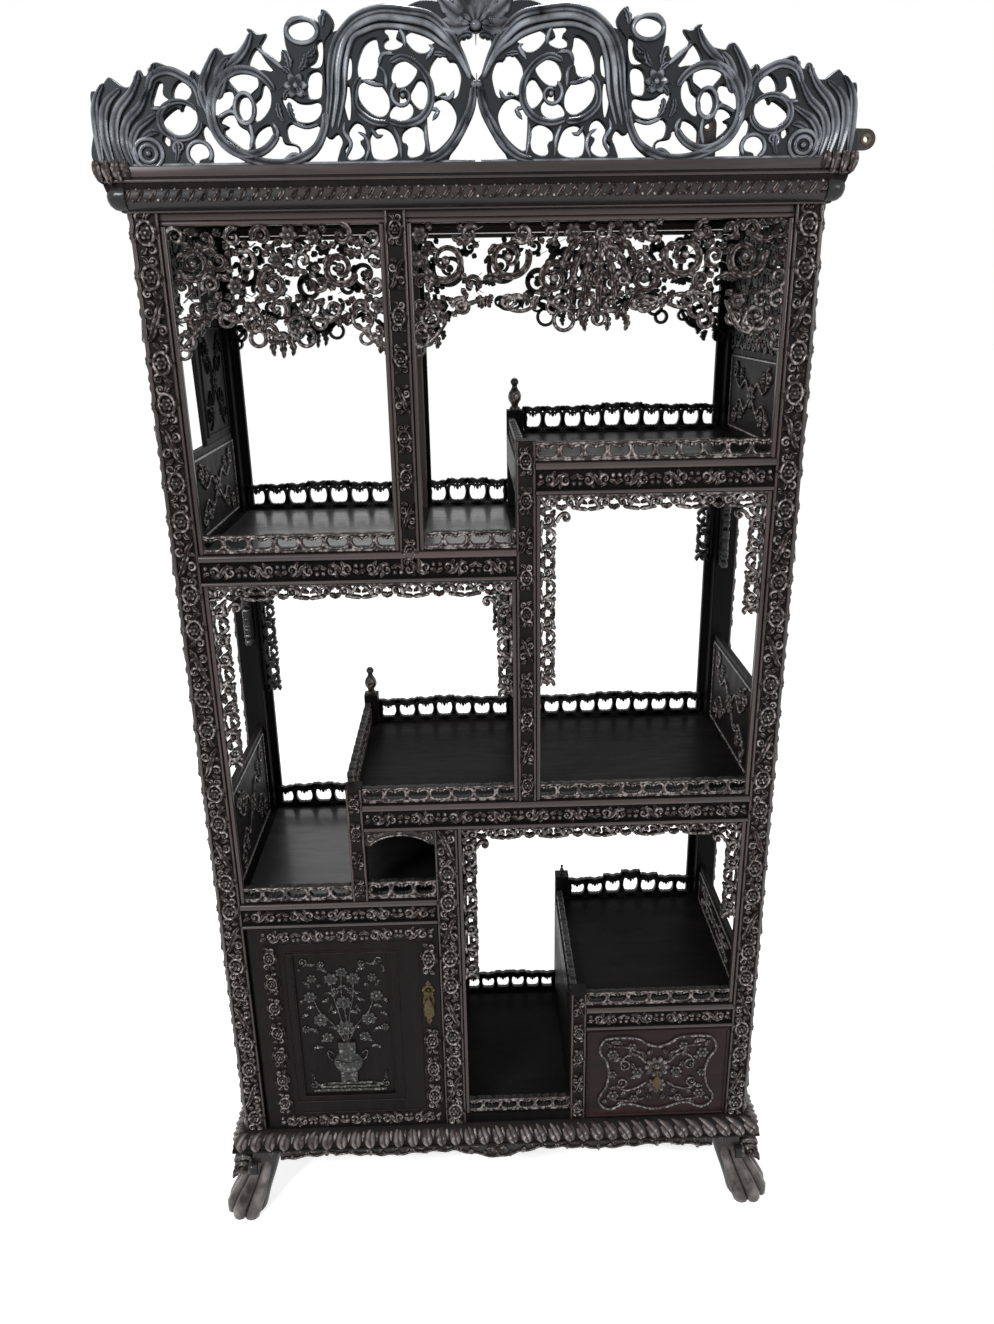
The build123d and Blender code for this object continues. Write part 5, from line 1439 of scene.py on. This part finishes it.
CREST_SIDE_OPENINGS = [
    [(428, 1722), (424, 1736), (417, 1749), (411, 1746), (413, 1735), (405, 1727), (409, 1722)],
    [(400, 1734), (397, 1743), (389, 1750), (380, 1745), (375, 1738), (380, 1730), (388, 1727),
     (397, 1728)],
    [(418, 1701), (410, 1711), (396, 1719), (391, 1714), (386, 1723), (376, 1721), (371, 1710),
     (373, 1700), (381, 1691), (392, 1687), (404, 1689)],
    [(388, 1665), (385, 1674), (378, 1679), (366, 1676), (360, 1668), (362, 1660), (373, 1657),
     (376, 1651), (382, 1656)],
    [(419, 1680), (415, 1688), (410, 1682), (412, 1673)],
    [(366, 1692), (361, 1698), (352, 1687), (336, 1674), (314, 1663), (308, 1656), (330, 1651),
     (354, 1650), (357, 1664), (364, 1680)],
    [(326, 1752), (318, 1758), (312, 1763), (299, 1763), (289, 1755), (287, 1744), (296, 1735),
     (309, 1734), (317, 1741)],
    [(349, 1713), (346, 1727), (336, 1736), (324, 1738), (320, 1728), (327, 1718), (340, 1710)],
    [(316, 1718), (312, 1729), (304, 1731), (298, 1722), (300, 1708), (308, 1703), (314, 1709)],
    [(293, 1724), (285, 1731), (279, 1746), (272, 1736), (273, 1721), (281, 1709), (292, 1702),
     (297, 1712)],
    [(341, 1702), (332, 1710), (322, 1709), (317, 1697), (306, 1690), (303, 1676), (309, 1668),
     (324, 1677), (338, 1690), (330, 1696)],
    [(299, 1677), (293, 1689), (282, 1696), (275, 1696), (272, 1686), (262, 1684), (259, 1675),
     (244, 1672), (240, 1664), (254, 1658), (280, 1657), (294, 1662)],
    [(257, 1728), (248, 1730), (236, 1723), (222, 1722), (210, 1724), (206, 1716), (212, 1705),
     (226, 1700), (242, 1704), (252, 1716)],
    [(254, 1692), (247, 1699), (234, 1695), (220, 1698), (210, 1694), (209, 1682), (218, 1670),
     (234, 1663), (240, 1673), (251, 1678)],
    [(221, 1729), (223, 1744), (219, 1756), (209, 1760), (203, 1754), (204, 1740), (207, 1729)],
    [(220, 1765), (211, 1770), (206, 1780), (207, 1790), (200, 1794), (200, 1776), (205, 1764)],
    [(297, 1768), (290, 1782), (284, 1785), (274, 1770), (266, 1760), (280, 1762), (290, 1760)],
    [(243, 1797), (243, 1809), (234, 1815), (220, 1817), (209, 1812), (207, 1801), (216, 1794),
     (232, 1793)],
]
CREST_SCROLL = [
    (204, 1688), (199, 1720), (198, 1760), (198, 1788), (188, 1802), (176, 1807), (162, 1816),
    (148, 1827), (134, 1830), (121, 1834), (106, 1831), (90, 1832), (70, 1838), (46, 1836), (28, 1820),
    (20, 1803), (20, 1790), (17, 1773), (8, 1757), (0, 1744), (2, 1722), (6, 1706), (14, 1694),
    (24, 1675), (36, 1661), (50, 1649), (120, 1648), (184, 1649), (186, 1664), (181, 1676), (187, 1686),
    (196, 1680),
]
CREST_SCROLL_OPENINGS = [
    [(130, 1796), (143, 1791), (151, 1779), (156, 1764), (154, 1752), (144, 1749), (133, 1752),
     (130, 1762), (124, 1772), (127, 1784)],
    [(155, 1744), (146, 1748), (132, 1746), (124, 1740), (117, 1728), (117, 1714), (126, 1706),
     (140, 1710), (152, 1721), (157, 1733)],
    [(119, 1805), (109, 1813), (97, 1814), (101, 1803), (104, 1796), (95, 1791), (98, 1786), (110, 1783),
     (119, 1785), (119, 1792), (112, 1797)],
    [(90, 1792), (91, 1800), (80, 1805), (66, 1803), (50, 1794), (59, 1788), (60, 1783), (68, 1779),
     (80, 1782)],
    [(54, 1772), (48, 1776), (40, 1775), (36, 1769), (27, 1768), (21, 1754), (22, 1742), (27, 1728),
     (37, 1727), (43, 1734), (54, 1729), (60, 1742), (61, 1760)],
    [(112, 1756), (106, 1767), (95, 1771), (84, 1768), (78, 1760), (82, 1751), (92, 1742), (104, 1740),
     (111, 1747)],
    [(88, 1730), (82, 1741), (76, 1748), (69, 1745), (64, 1732), (66, 1719), (74, 1714), (83, 1720)],
    [(102, 1733), (97, 1735), (95, 1727), (86, 1718), (86, 1708), (94, 1702), (108, 1700), (117, 1707),
     (112, 1717), (103, 1722)],
    [(67, 1700), (65, 1713), (57, 1722), (46, 1726), (35, 1720), (28, 1706), (31, 1691), (40, 1678),
     (54, 1666), (64, 1664), (66, 1680)],
    [(100, 1686), (90, 1693), (80, 1694), (73, 1688), (71, 1674), (74, 1662), (86, 1657), (95, 1660),
     (94, 1672), (101, 1676)],
    [(142, 1660), (144, 1680), (134, 1692), (120, 1690), (112, 1680), (108, 1662), (120, 1655),
     (134, 1655)],
    [(172, 1688), (162, 1699), (152, 1694), (150, 1682), (158, 1676), (152, 1664), (160, 1656),
     (174, 1656), (178, 1668), (170, 1676)],
    [(172, 1703), (176, 1722), (173, 1740), (168, 1742), (167, 1722), (169, 1704)],
    [(172, 1750), (172, 1766), (168, 1777), (163, 1770), (165, 1752)],
]


def crest_end_leaf(work):
    """Feathered ridges that bend over a rosette."""
    for knots, width in (
            ([(503, 1652), (504, 1700), (500, 1728), (488, 1748)], 11),
            ([(489, 1650), (495, 1690), (488, 1722), (466, 1742)], 13),
            ([(474, 1650), (482, 1684), (474, 1714), (452, 1738), (441, 1758)], 13),
            ([(463, 1650), (470, 1678), (463, 1702), (444, 1720), (430, 1742)], 12),
            ([(455, 1654), (460, 1676), (451, 1694), (436, 1704), (422, 1712)], 11),
            ([(446, 1684), (432, 1690), (422, 1690)], 9)):
        work.strap(knots, (width * 0.6, width, width, width * 0.4), (3, 5, 6.5, 5), FLUTED)
    for radius in (19, 11):
        work.ring(circle(440, 1665, radius, radius * 0.95), 7, 4, 3.5)
    work.dome(440, 1665, 10, 10, 6)
    for tip, base in (((440, 1763), (446, 1744)), ((419, 1771), (428, 1752)), ((370, 1762), (376, 1742))):
        work.leaf(base, tip, 12, 6, lobes=3)


def crest_arched_scroll(work):
    """Small arch over a loop, between the end leaf and the ring scroll."""
    work.strap([(432, 1738), (424, 1755), (404, 1762), (384, 1755), (368, 1742), (363, 1718)],
               (8, 11, 11, 8), 5, FLUTED)
    work.strap(circle(393, 1704, 27, 22, 14, 150, -330), (5, 9, 9, 6), 5, FLUTED, step=3.5)
    work.strap([(430, 1718), (412, 1719), (402, 1725)], 6, 4)
    work.strap(circle(372, 1664, 16, 15, 12, -60, 280), 6, 4, step=3)
    work.leaf((404, 1654), (412, 1694), 13, 5, bend=0.2, lobes=5)
    work.curl(398, 1672, 9, 3, -60, 1.1, 5, 4.5)


def crest_ring_scroll(work):
    """Ring scroll with its leaf crown."""
    work.strap(circle(306, 1712, 46, 50, 18, -150, 300), (10, 13, 13, 9), 5.5, FLUTED)
    work.ring(circle(307, 1717, 13, 18), 6, 4.5)
    for knots in (
            [(352, 1704), (361, 1738), (351, 1764), (338, 1784)], [(344, 1742), (334, 1764), (322, 1776)],
            [(326, 1764), (310, 1775), (298, 1788), (290, 1804)], [(340, 1728), (330, 1752), (314, 1768)]):
        work.strap(knots, (7, 12, 10, 5), 5.5, FLUTED)
    for knots in (
            [(297, 1734), (286, 1742)], [(320, 1722), (318, 1738)], [(344, 1706), (326, 1714), (316, 1708)],
            [(302, 1700), (300, 1684), (304, 1668)], [(272, 1700), (266, 1690), (268, 1680)],
            [(284, 1700), (292, 1698)]):
        work.strap(knots, 6, 4)
    work.strap([(352, 1700), (343, 1682), (318, 1663), (290, 1653), (262, 1651), (238, 1657), (216, 1670),
                (204, 1692), (200, 1712)], (9, 12, 12, 12, 10), 5.5, FLUTED)
    work.strap([(262, 1652), (248, 1662), (236, 1660)], (6, 6, 3), 5)


def crest_flower(work):
    """Flower with its leaves, stem and loop."""
    work.blossom(238, 1743, 17, 6)
    for tip, base, width in (
            ((252, 1784), (244, 1762), 13), ((256, 1764), (242, 1754), 11), ((222, 1780), (232, 1760), 13),
            ((224, 1732), (236, 1742), 11), ((254, 1726), (244, 1738), 12), ((208, 1788), (222, 1776), 12),
            ((240, 1700), (248, 1724), 11), ((256, 1700), (262, 1724), 11)):
        work.leaf(base, tip, width, 6, bend=0.15)
    work.strap([(284, 1786), (270, 1776), (252, 1762)], (5, 7, 5), 5)
    work.strap([(262, 1738), (252, 1744)], 7, 5)
    work.ring(circle(225, 1805, 20, 14), 6.5, 5, 3.4)
    work.leaf((199, 1808), (192, 1827), 12, 5, bend=-0.15, lobes=3)
    work.strap([(210, 1698), (228, 1694), (246, 1700)], 5, 4)


def crest_big_scroll(work):
    """Three ribbed bands that sweep over the top, and the curls they hold."""
    for shift, width, section in ((0.0, 11, FLUTED), (9.5, 11, ROUND), (19.0, 8, ROUND)):
        knots = [(201 - shift * 0.8, 1692), (194 - shift, 1730), (190 - shift, 1766), (180 - shift, 1794),
                 (156 - shift * 0.5, 1818 - shift * 0.8), (124, 1828 - shift), (90, 1826 - shift),
                 (58 + shift * 0.2, 1820 - shift * 1.1), (34 + shift * 0.6, 1800 - shift * 0.6),
                 (19 + shift * 0.4, 1776), (8, 1748)]
        work.strap(knots, (width * 0.5, width, width, width, width * 0.7), (4, 7, 7, 5), section, step=4.5)
    work.strap([(118, 1700), (98, 1696), (76, 1702), (62, 1720), (62, 1744), (76, 1764), (96, 1774),
                (114, 1768)], (8, 11, 10, 9, 7), 6, FLUTED)
    work.strap([(152, 1752), (160, 1738), (160, 1716), (140, 1700), (118, 1697)], (7, 9, 9), 5.5, FLUTED)
    work.curl(98, 1730, 17, 5, 60, -1.05, 6, 5, step=2.6)
    for knots in (
            [(119, 1738), (120, 1756), (128, 1764)], [(128, 1764), (122, 1778), (106, 1777)],
            [(66, 1770), (56, 1784), (62, 1788)], [(92, 1786), (94, 1798), (100, 1808)],
            [(60, 1700), (52, 1712), (64, 1714)], [(69, 1696), (69, 1680), (65, 1658)],
            [(112, 1694), (105, 1676), (103, 1654)], [(176, 1700), (178, 1688), (170, 1674), (178, 1656)],
            [(152, 1652), (146, 1668), (150, 1682), (160, 1688)], [(30, 1736), (36, 1726), (50, 1728)],
            [(122, 1742), (136, 1744), (150, 1748)], [(142, 1692), (134, 1682), (126, 1684)]):
        work.strap(knots, (4, 6.5, 6, 3), 4.5)
    work.strap([(4, 1740), (8, 1716), (19, 1694), (34, 1672), (54, 1656), (74, 1651)],
               (10, 13, 13, 9), 6.5, FLUTED)
    work.strap([(12, 1704), (22, 1684), (38, 1665)], (5, 6, 4), 8)
    work.leaf((56, 1778), (38, 1776), 10, 5, lobes=3)


def crest_drawing():
    """Right half of the cresting: sawn sheets, then the carved ridges on them."""
    work = Carving(9.0)
    work.sheet(CREST_SIDE, CREST_SIDE_OPENINGS, -9.0, 0.0)
    work.sheet(CREST_SCROLL, CREST_SCROLL_OPENINGS, -9.0, 0.5)
    work.lift, work.back = 1.6, 2.0
    for carve in (crest_end_leaf, crest_arched_scroll, crest_ring_scroll, crest_flower, crest_big_scroll):
        carve(work)
    work.lift = 0.0
    work.bead((4, 1650), (505, 1650), 6, 3.0, SQUARE)
    work.dome(3, 1742, 13, 12, 8)
    return work


def carve_cresting():
    drawing = crest_drawing()
    size = 0.99
    for side, word in ((1, "right"), (-1, "left")):
        half = Carving()
        half.set_in(drawing, 0, 14.7, side * size, size)
        work = placed(half, on_front(-11.0))
        make_piece(f"cresting_{word}_carving", work, CRESTING, stands_for=(f"cresting_{word}",))
    refinish(IRON, "wall_plates")
    refinish(BRASS, "eyelets")


def carve_shell():
    """Lotus shell between the halves of the cresting."""
    work = Carving(9.0)
    work.strap([(0, 1730), (0, 1752)], 9, 7)
    work.strap([(0, 1786), (0, 1806)], (8, 18), 6, FLUTED)
    for angle, reach in ((8, 58), (35, 64), (62, 68), (90, 70), (118, 68), (145, 64), (172, 58)):
        across, up = math.cos(math.radians(angle)), math.sin(math.radians(angle))
        work.leaf((7 * across, 1806 + 5 * up), (reach * 0.92 * across, 1803 + reach * up), 24, 8,
                  bend=-across * 0.1, lobes=5, bite=0.18, section=FLUTED)
    for lean in (-1, 1):
        work.dome(lean * 19, 1812, 11, 11, 9)
        work.leaf((lean * 4, 1796), (lean * 26, 1788), 13, 7, bend=lean * 0.2, lobes=3)
    work.dome(0, 1806, 18, 16, 10)
    make_piece("crest_shell_carving", placed(work, on_front(-11.0)), CRESTING, stands_for=("crest_shell",))


# ---------------------------------------------------------------- door and drawer

def carve_door_frame():
    (x0, x1), (z0, z1) = DOOR_X, DOOR_Z
    low, high = z0 + DOOR_BAND, z1 - DOOR_BAND
    work = Carving()
    # The hinge side stays clear of the post, and the pull side clear of the drop
    run_up(work, (BOSS,), x0 + 39, low, high, 54, 0.74)
    for v0, v1 in ((low, PULL_GAP[0]), (PULL_GAP[1], high)):
        run_up(work, (BOSS,), x1 - DOOR_BAND / 2 - 1, v0, v1, 58, 0.82)
    for v in (z1 - DOOR_BAND / 2, z0 + DOOR_BAND / 2):
        run_along(work, SCROLL, v, x0 + 28, x1 - 8, 60, 1.05)
    make_piece("door_frame_carving", placed(work, on_front(0.0)), CARVED, body="door")
    refinish(GROUND, "door_frame", "door_panel")
    refinish(BRASS, "door_pivots")


def carve_door_mouldings():
    """Thin lines round the door's frame and its sunk panel."""
    work = Carving(1.0)
    work.border(-381, -133, 36, 412, 4.0, 3.0, blunt=False)
    work.border(-372, -171, 62, 391, 5.5, 3.4, blunt=False)
    work.border(-360, -186, 74, 396, 3.5, 2.5, blunt=False)
    make_piece("door_mouldings", placed(work, on_front(0.0)), WARM_UPRIGHT, body="door")


def carve_door_panel():
    """Vase of flowers on a stepped tray, drawn about the panel's middle."""
    work = Carving()
    work.bead((0, 108), (0, 196), 34, 7, FLUTED)
    work.dome(0, 148, 58, 54, 10, around=20)
    work.strap([(-22, 158, 6), (0, 154, 9), (22, 158, 6)], 4, 3.6)
    work.strap([(-15, 192), (15, 192)], 4.5, 4.0)
    for lean in (-1, 1):
        work.strap([(lean * 24, 168), (lean * 36, 176), (lean * 34, 160), (lean * 25, 152)], 3.6, 3.2)
        work.strap([(lean * 3, 194), (lean * 20, 232), (lean * 44, 262), (lean * 56, 300)],
                   (4, 3.4, 2.6), 2.8)
        work.strap([(lean * 2, 194), (lean * 8, 250), (lean * 18, 300), (lean * 20, 340)],
                   (4, 3.2, 2.4), 2.6)
        for u, v, radius in ((44, 246, 15), (60, 296, 13), (20, 334, 14), (34, 206, 12), (54, 336, 10),
                             (14, 308, 9), (72, 226, 9), (36, 366, 8)):
            work.blossom(lean * u, v, radius, 3.6, petals=7)
        for u, v, tip_u, tip_v in (
                (14, 222, 30, 228), (30, 262, 22, 282), (52, 274, 70, 268), (12, 292, 34, 304),
                (38, 320, 48, 318), (24, 200, 52, 190), (50, 214, 72, 226), (60, 316, 72, 330),
                (10, 312, 2, 324), (36, 232, 58, 238), (8, 262, 26, 256), (40, 286, 22, 300),
                (64, 258, 80, 248), (26, 348, 44, 356), (70, 290, 80, 276), (44, 184, 66, 176)):
            work.leaf((lean * u, v), (lean * tip_u, tip_v), 9, 3.0, bend=lean * 0.2)
        for v, sign in ((372, -1), (98, 1)):
            work.curl(lean * 68, v, 9, 2.6, 90 * sign, lean * sign * 1.2, 4, 3)
            work.leaf((lean * 66, v + sign * 2), (lean * 44, v + sign * 4), 8, 3, bend=lean * 0.2)
            work.leaf((lean * 70, v + sign * 8), (lean * 72, v + sign * 30), 8, 3, bend=lean * 0.2)
    for v, radius, rise, petals in ((226, 19, 4.4, 9), (282, 16, 4.0, 8), (348, 12, 3.6, 7)):
        work.blossom(0, v, radius, rise, petals)
    work.strap([(0, 194), (3, 240), (-3, 300), (0, 350)], (4, 3, 2.4), 2.6)
    for half, low in ((68, 82), (56, 90), (42, 98)):
        work.bar(-half, half, low, low + 5, -1, 2.6, 0.8, 0.9)
    make_piece("door_panel_carving", placed(work, on_front(4.0, -273.0)), DOOR_CARVED, body="door")


def carve_drawer_front():
    """Cartouche of flowers and curls, drawn about the drawer's middle."""
    right = [(0, 20), (22.5, 24), (54.5, 34), (86.5, 22), (102.5, 30), (108.5, 48), (95.5, 74), (90.5, 104),
             (95.5, 134), (108.5, 158), (102.5, 180), (86.5, 188), (42.5, 186), (19.5, 172), (0, 166)]
    left = [(-u, v) for u, v in right[-2:0:-1]]
    work = Carving()
    # The rim runs round from its lower left corner
    work.ring(left[-4:] + right + left[:-4], 6.0, 5.0, 4.0)
    work.blossom(0, 118, 26, 6.0, petals=10)
    work.blossom(0, 76, 20, 5.0, petals=8)
    for lean in (-1, 1):
        work.strap([(lean * 20, 128), (lean * 40, 148), (lean * 62, 142), (lean * 70, 122)], (6, 5, 4), 4)
        work.curl(lean * 62, 122, 14, 3.4, 40 if lean > 0 else 140, lean * 1.2, 5, 4)
        work.strap([(lean * 18, 84), (lean * 38, 70), (lean * 60, 66), (lean * 76, 80)], (6, 5, 4), 4)
        work.curl(lean * 66, 84, 13, 3.4, -40 if lean > 0 else -140, -lean * 1.2, 5, 4)
        work.strap([(lean * 30, 150), (lean * 52, 164), (lean * 82, 168)], (5, 4.4, 3), 3.6)
        work.strap([(lean * 22, 46), (lean * 46, 40), (lean * 84, 44)], (5, 5, 3), 3.6)
        for u, v, radius in ((36, 108, 11), (84, 150, 11), (82, 54, 11), (42, 46, 9), (48, 166, 9),
                             (84, 104, 8)):
            work.blossom(lean * u, v, radius * 1.15, 5.5)
        for u, v, tip_u, tip_v in (
                (24, 136, 34, 156), (48, 142, 58, 158), (66, 140, 82, 132), (26, 66, 36, 54),
                (56, 62, 66, 50), (74, 70, 88, 70), (28, 96, 50, 92), (46, 116, 50, 130),
                (20, 150, 12, 162), (14, 56, 8, 44), (60, 36, 74, 30), (66, 172, 90, 176),
                (90, 164, 98, 176), (92, 44, 100, 34)):
            work.leaf((lean * u, v), (lean * tip_u, tip_v), 12, 5, bend=lean * 0.2)
    make_piece("drawer_front_carving", placed(work, on_front(0.0, sum(DRAWER_X) / 2)), CARVED_LEVEL,
               body="drawer")


def carve_drawer_rim():
    rim = Carving()
    rim.border(*DRAWER_X, *DRAWER_Z, 5, 2.4)
    make_piece("drawer_rim", placed(rim, on_front(0.0)), DARK_RED, body="drawer")
    refinish(DARK_RED, "drawer_front")
    refinish(DRAWER_WOOD, "drawer_box")
    refinish(INNER, "drawer_case", "cupboard_walls")


def brass_pull(body, plate_name, drop_name, x, z, high):
    """Petalled back plate with its pin, and the leaf drop that hangs on it, drawn about the pin."""
    plate = Carving(0.2)
    if body == "door":
        right = [(0, 22), (5, 15), (4, 10), (10.5, 4), (8, -10), (10.5, -24), (8, -40), (9.5, -54), (4, -60),
                 (5, -66), (0, -74)]
        plate.plate(right + [(-u, v) for u, v in right[-2:0:-1]], -1.0, 1.0, 0.6)
    plate.blossom(0, 0, 12.5, 2.6, petals=8, w=0.3)
    plate.bead((-6, 0), (6, 0), 3.2, 3.2)
    for ear in (-3.8, 3.8):
        plate.bar(ear - 1, ear + 1, -3, 3, 1.5, 10.0, 0.5, 0.8)
    plate.back, plate.lift = 1.5, 8.0
    plate.bead((-4.9, 0), (4.9, 0), 3.0, 1.5)
    make_piece(plate_name, placed(plate, on_front(0.0, x, z)), BRASS, body, (f"{body}_pull_plate",))
    drop = Carving(1.4)
    drop.ring(circle(0, 0, 2.6, count=8), 1.6, 1.0, 1.5)
    drop.bead((0, -2.5), (0, -high * 0.25), 3.4, 1.4)
    leaf = [(0, -high * share) for share in (0.2, 0.45, 0.72, 1.0)]
    drop.strap(leaf, (4, 13, 19, 13, 2), (1.3, 2.0, 2.2, 1.4), VEINED, step=3)
    drop.dome(0, -high * 0.7, 7, 9, 2.8)
    make_piece(drop_name, placed(drop, on_front(-8.0, x, z)), BRASS, f"{body}_drop", (f"{body}_pull_drop",))


# ---------------------------------------------------------------- studio

def add_to_scene(name, data):
    made = bpy.data.objects.new(name, data)
    bpy.context.scene.collection.objects.link(made)
    return made


def set_camera():
    camera = bpy.data.cameras.new("camera")
    camera.lens = 27.09
    camera.sensor_width = 36.0
    camera.clip_end = 60.0
    right = Vector((0.9995, -0.0278, -0.0152))
    down = Vector((-0.0237, -0.3392, -0.9404))
    forward = Vector((0.0210, 0.9403, -0.3396))
    turn = Matrix((right, -down, -forward)).transposed()
    eye = add_to_scene("camera", camera)
    eye.matrix_world = Matrix.Translation((-0.01877, -1.65965, 1.64946)) @ turn.to_4x4()
    bpy.context.scene.camera = eye


def seen_plainly(tree):
    """1 for the rays that show the backdrop itself: straight from the camera, mirrored or through glass."""
    path = put(tree, "LightPath").outputs
    direct = {0: path["Is Camera Ray"], 1: path["Is Glossy Ray"]}
    direct = put(tree, "Math", direct, operation="MAXIMUM").outputs["Value"]
    return put(tree, "Math", {0: direct, 1: path["Is Transmission Ray"]},
               operation="MAXIMUM").outputs["Value"]


def lay_floor():
    mesh = bpy.data.meshes.new("studio_floor")
    mesh.from_pydata([(-30, -30, 0), (30, -30, 0), (30, 30, 0), (-30, 30, 0)], [], [(0, 1, 2, 3)])
    pale, tree, shader = new_finish("pale_floor")
    for label, value in (("Base Color", (0.82, 0.82, 0.82, 1)), ("Roughness", 0.9),
                         ("Specular IOR Level", 0.1), ("Emission Color", (1, 1, 1, 1))):
        shader.inputs[label].default_value = value
    tree.links.new(product(tree, seen_plainly(tree), 0.68), shader.inputs["Emission Strength"])
    mesh.materials.append(pale)
    add_to_scene("studio_floor", mesh)


def light_studio():
    world = bpy.data.worlds.new("studio")
    bpy.context.scene.world = world
    world.use_nodes = True
    tree = world.node_tree
    sky = tree.nodes["Background"].inputs
    sky["Color"].default_value = (1, 1, 1, 1)
    tree.links.new(spread(tree, seen_plainly(tree), 0.0, 1.0, 0.4, 1.0), sky["Strength"])
    for name, place, aim, size, power in (
            ("key_lamp", (-1.9, -2.6, 3.0), (0, 0, 1.0), 0.8, 112.0),
            ("fill_lamp", (2.4, -2.4, 2.0), (0, 0, 0.9), 1.0, 46.0),
            ("top_lamp", (0.2, 0.6, 3.6), (0, 0, 1.0), 0.9, 50.0)):
        lamp = bpy.data.lights.new(name, "AREA")
        lamp.shape = "SQUARE"
        lamp.size = size
        lamp.energy = power
        lit = add_to_scene(name, lamp)
        lit.location = place
        lit.rotation_mode = "QUATERNION"
        lit.rotation_quaternion = (Vector(aim) - Vector(place)).to_track_quat("-Z", "Y")


carve_corner_posts()
carve_inner_posts()
carve_laths()
carve_finials()
carve_shelves()
polish_boards()
carve_galleries()
carve_frames()
carve_valances()
carve_compartment()
carve_side_panels()
carve_side_frets()
carve_side_stile()
carve_base()
carve_aprons()
carve_feet()
carve_cornice()
carve_cresting()
carve_shell()
carve_door_frame()
carve_door_mouldings()
carve_door_panel()
carve_drawer_front()
carve_drawer_rim()
brass_pull("door", "lock_plate", "lock_drop", -119.0, 306.0, 62.0)
brass_pull("drawer", "drawer_plate", "drawer_drop_leaf", sum(DRAWER_X) / 2, 112.0, 44.0)
bpy.context.scene.view_settings.view_transform = "Standard"
set_camera()
lay_floor()
light_studio()

bpy.context.view_layer.update()
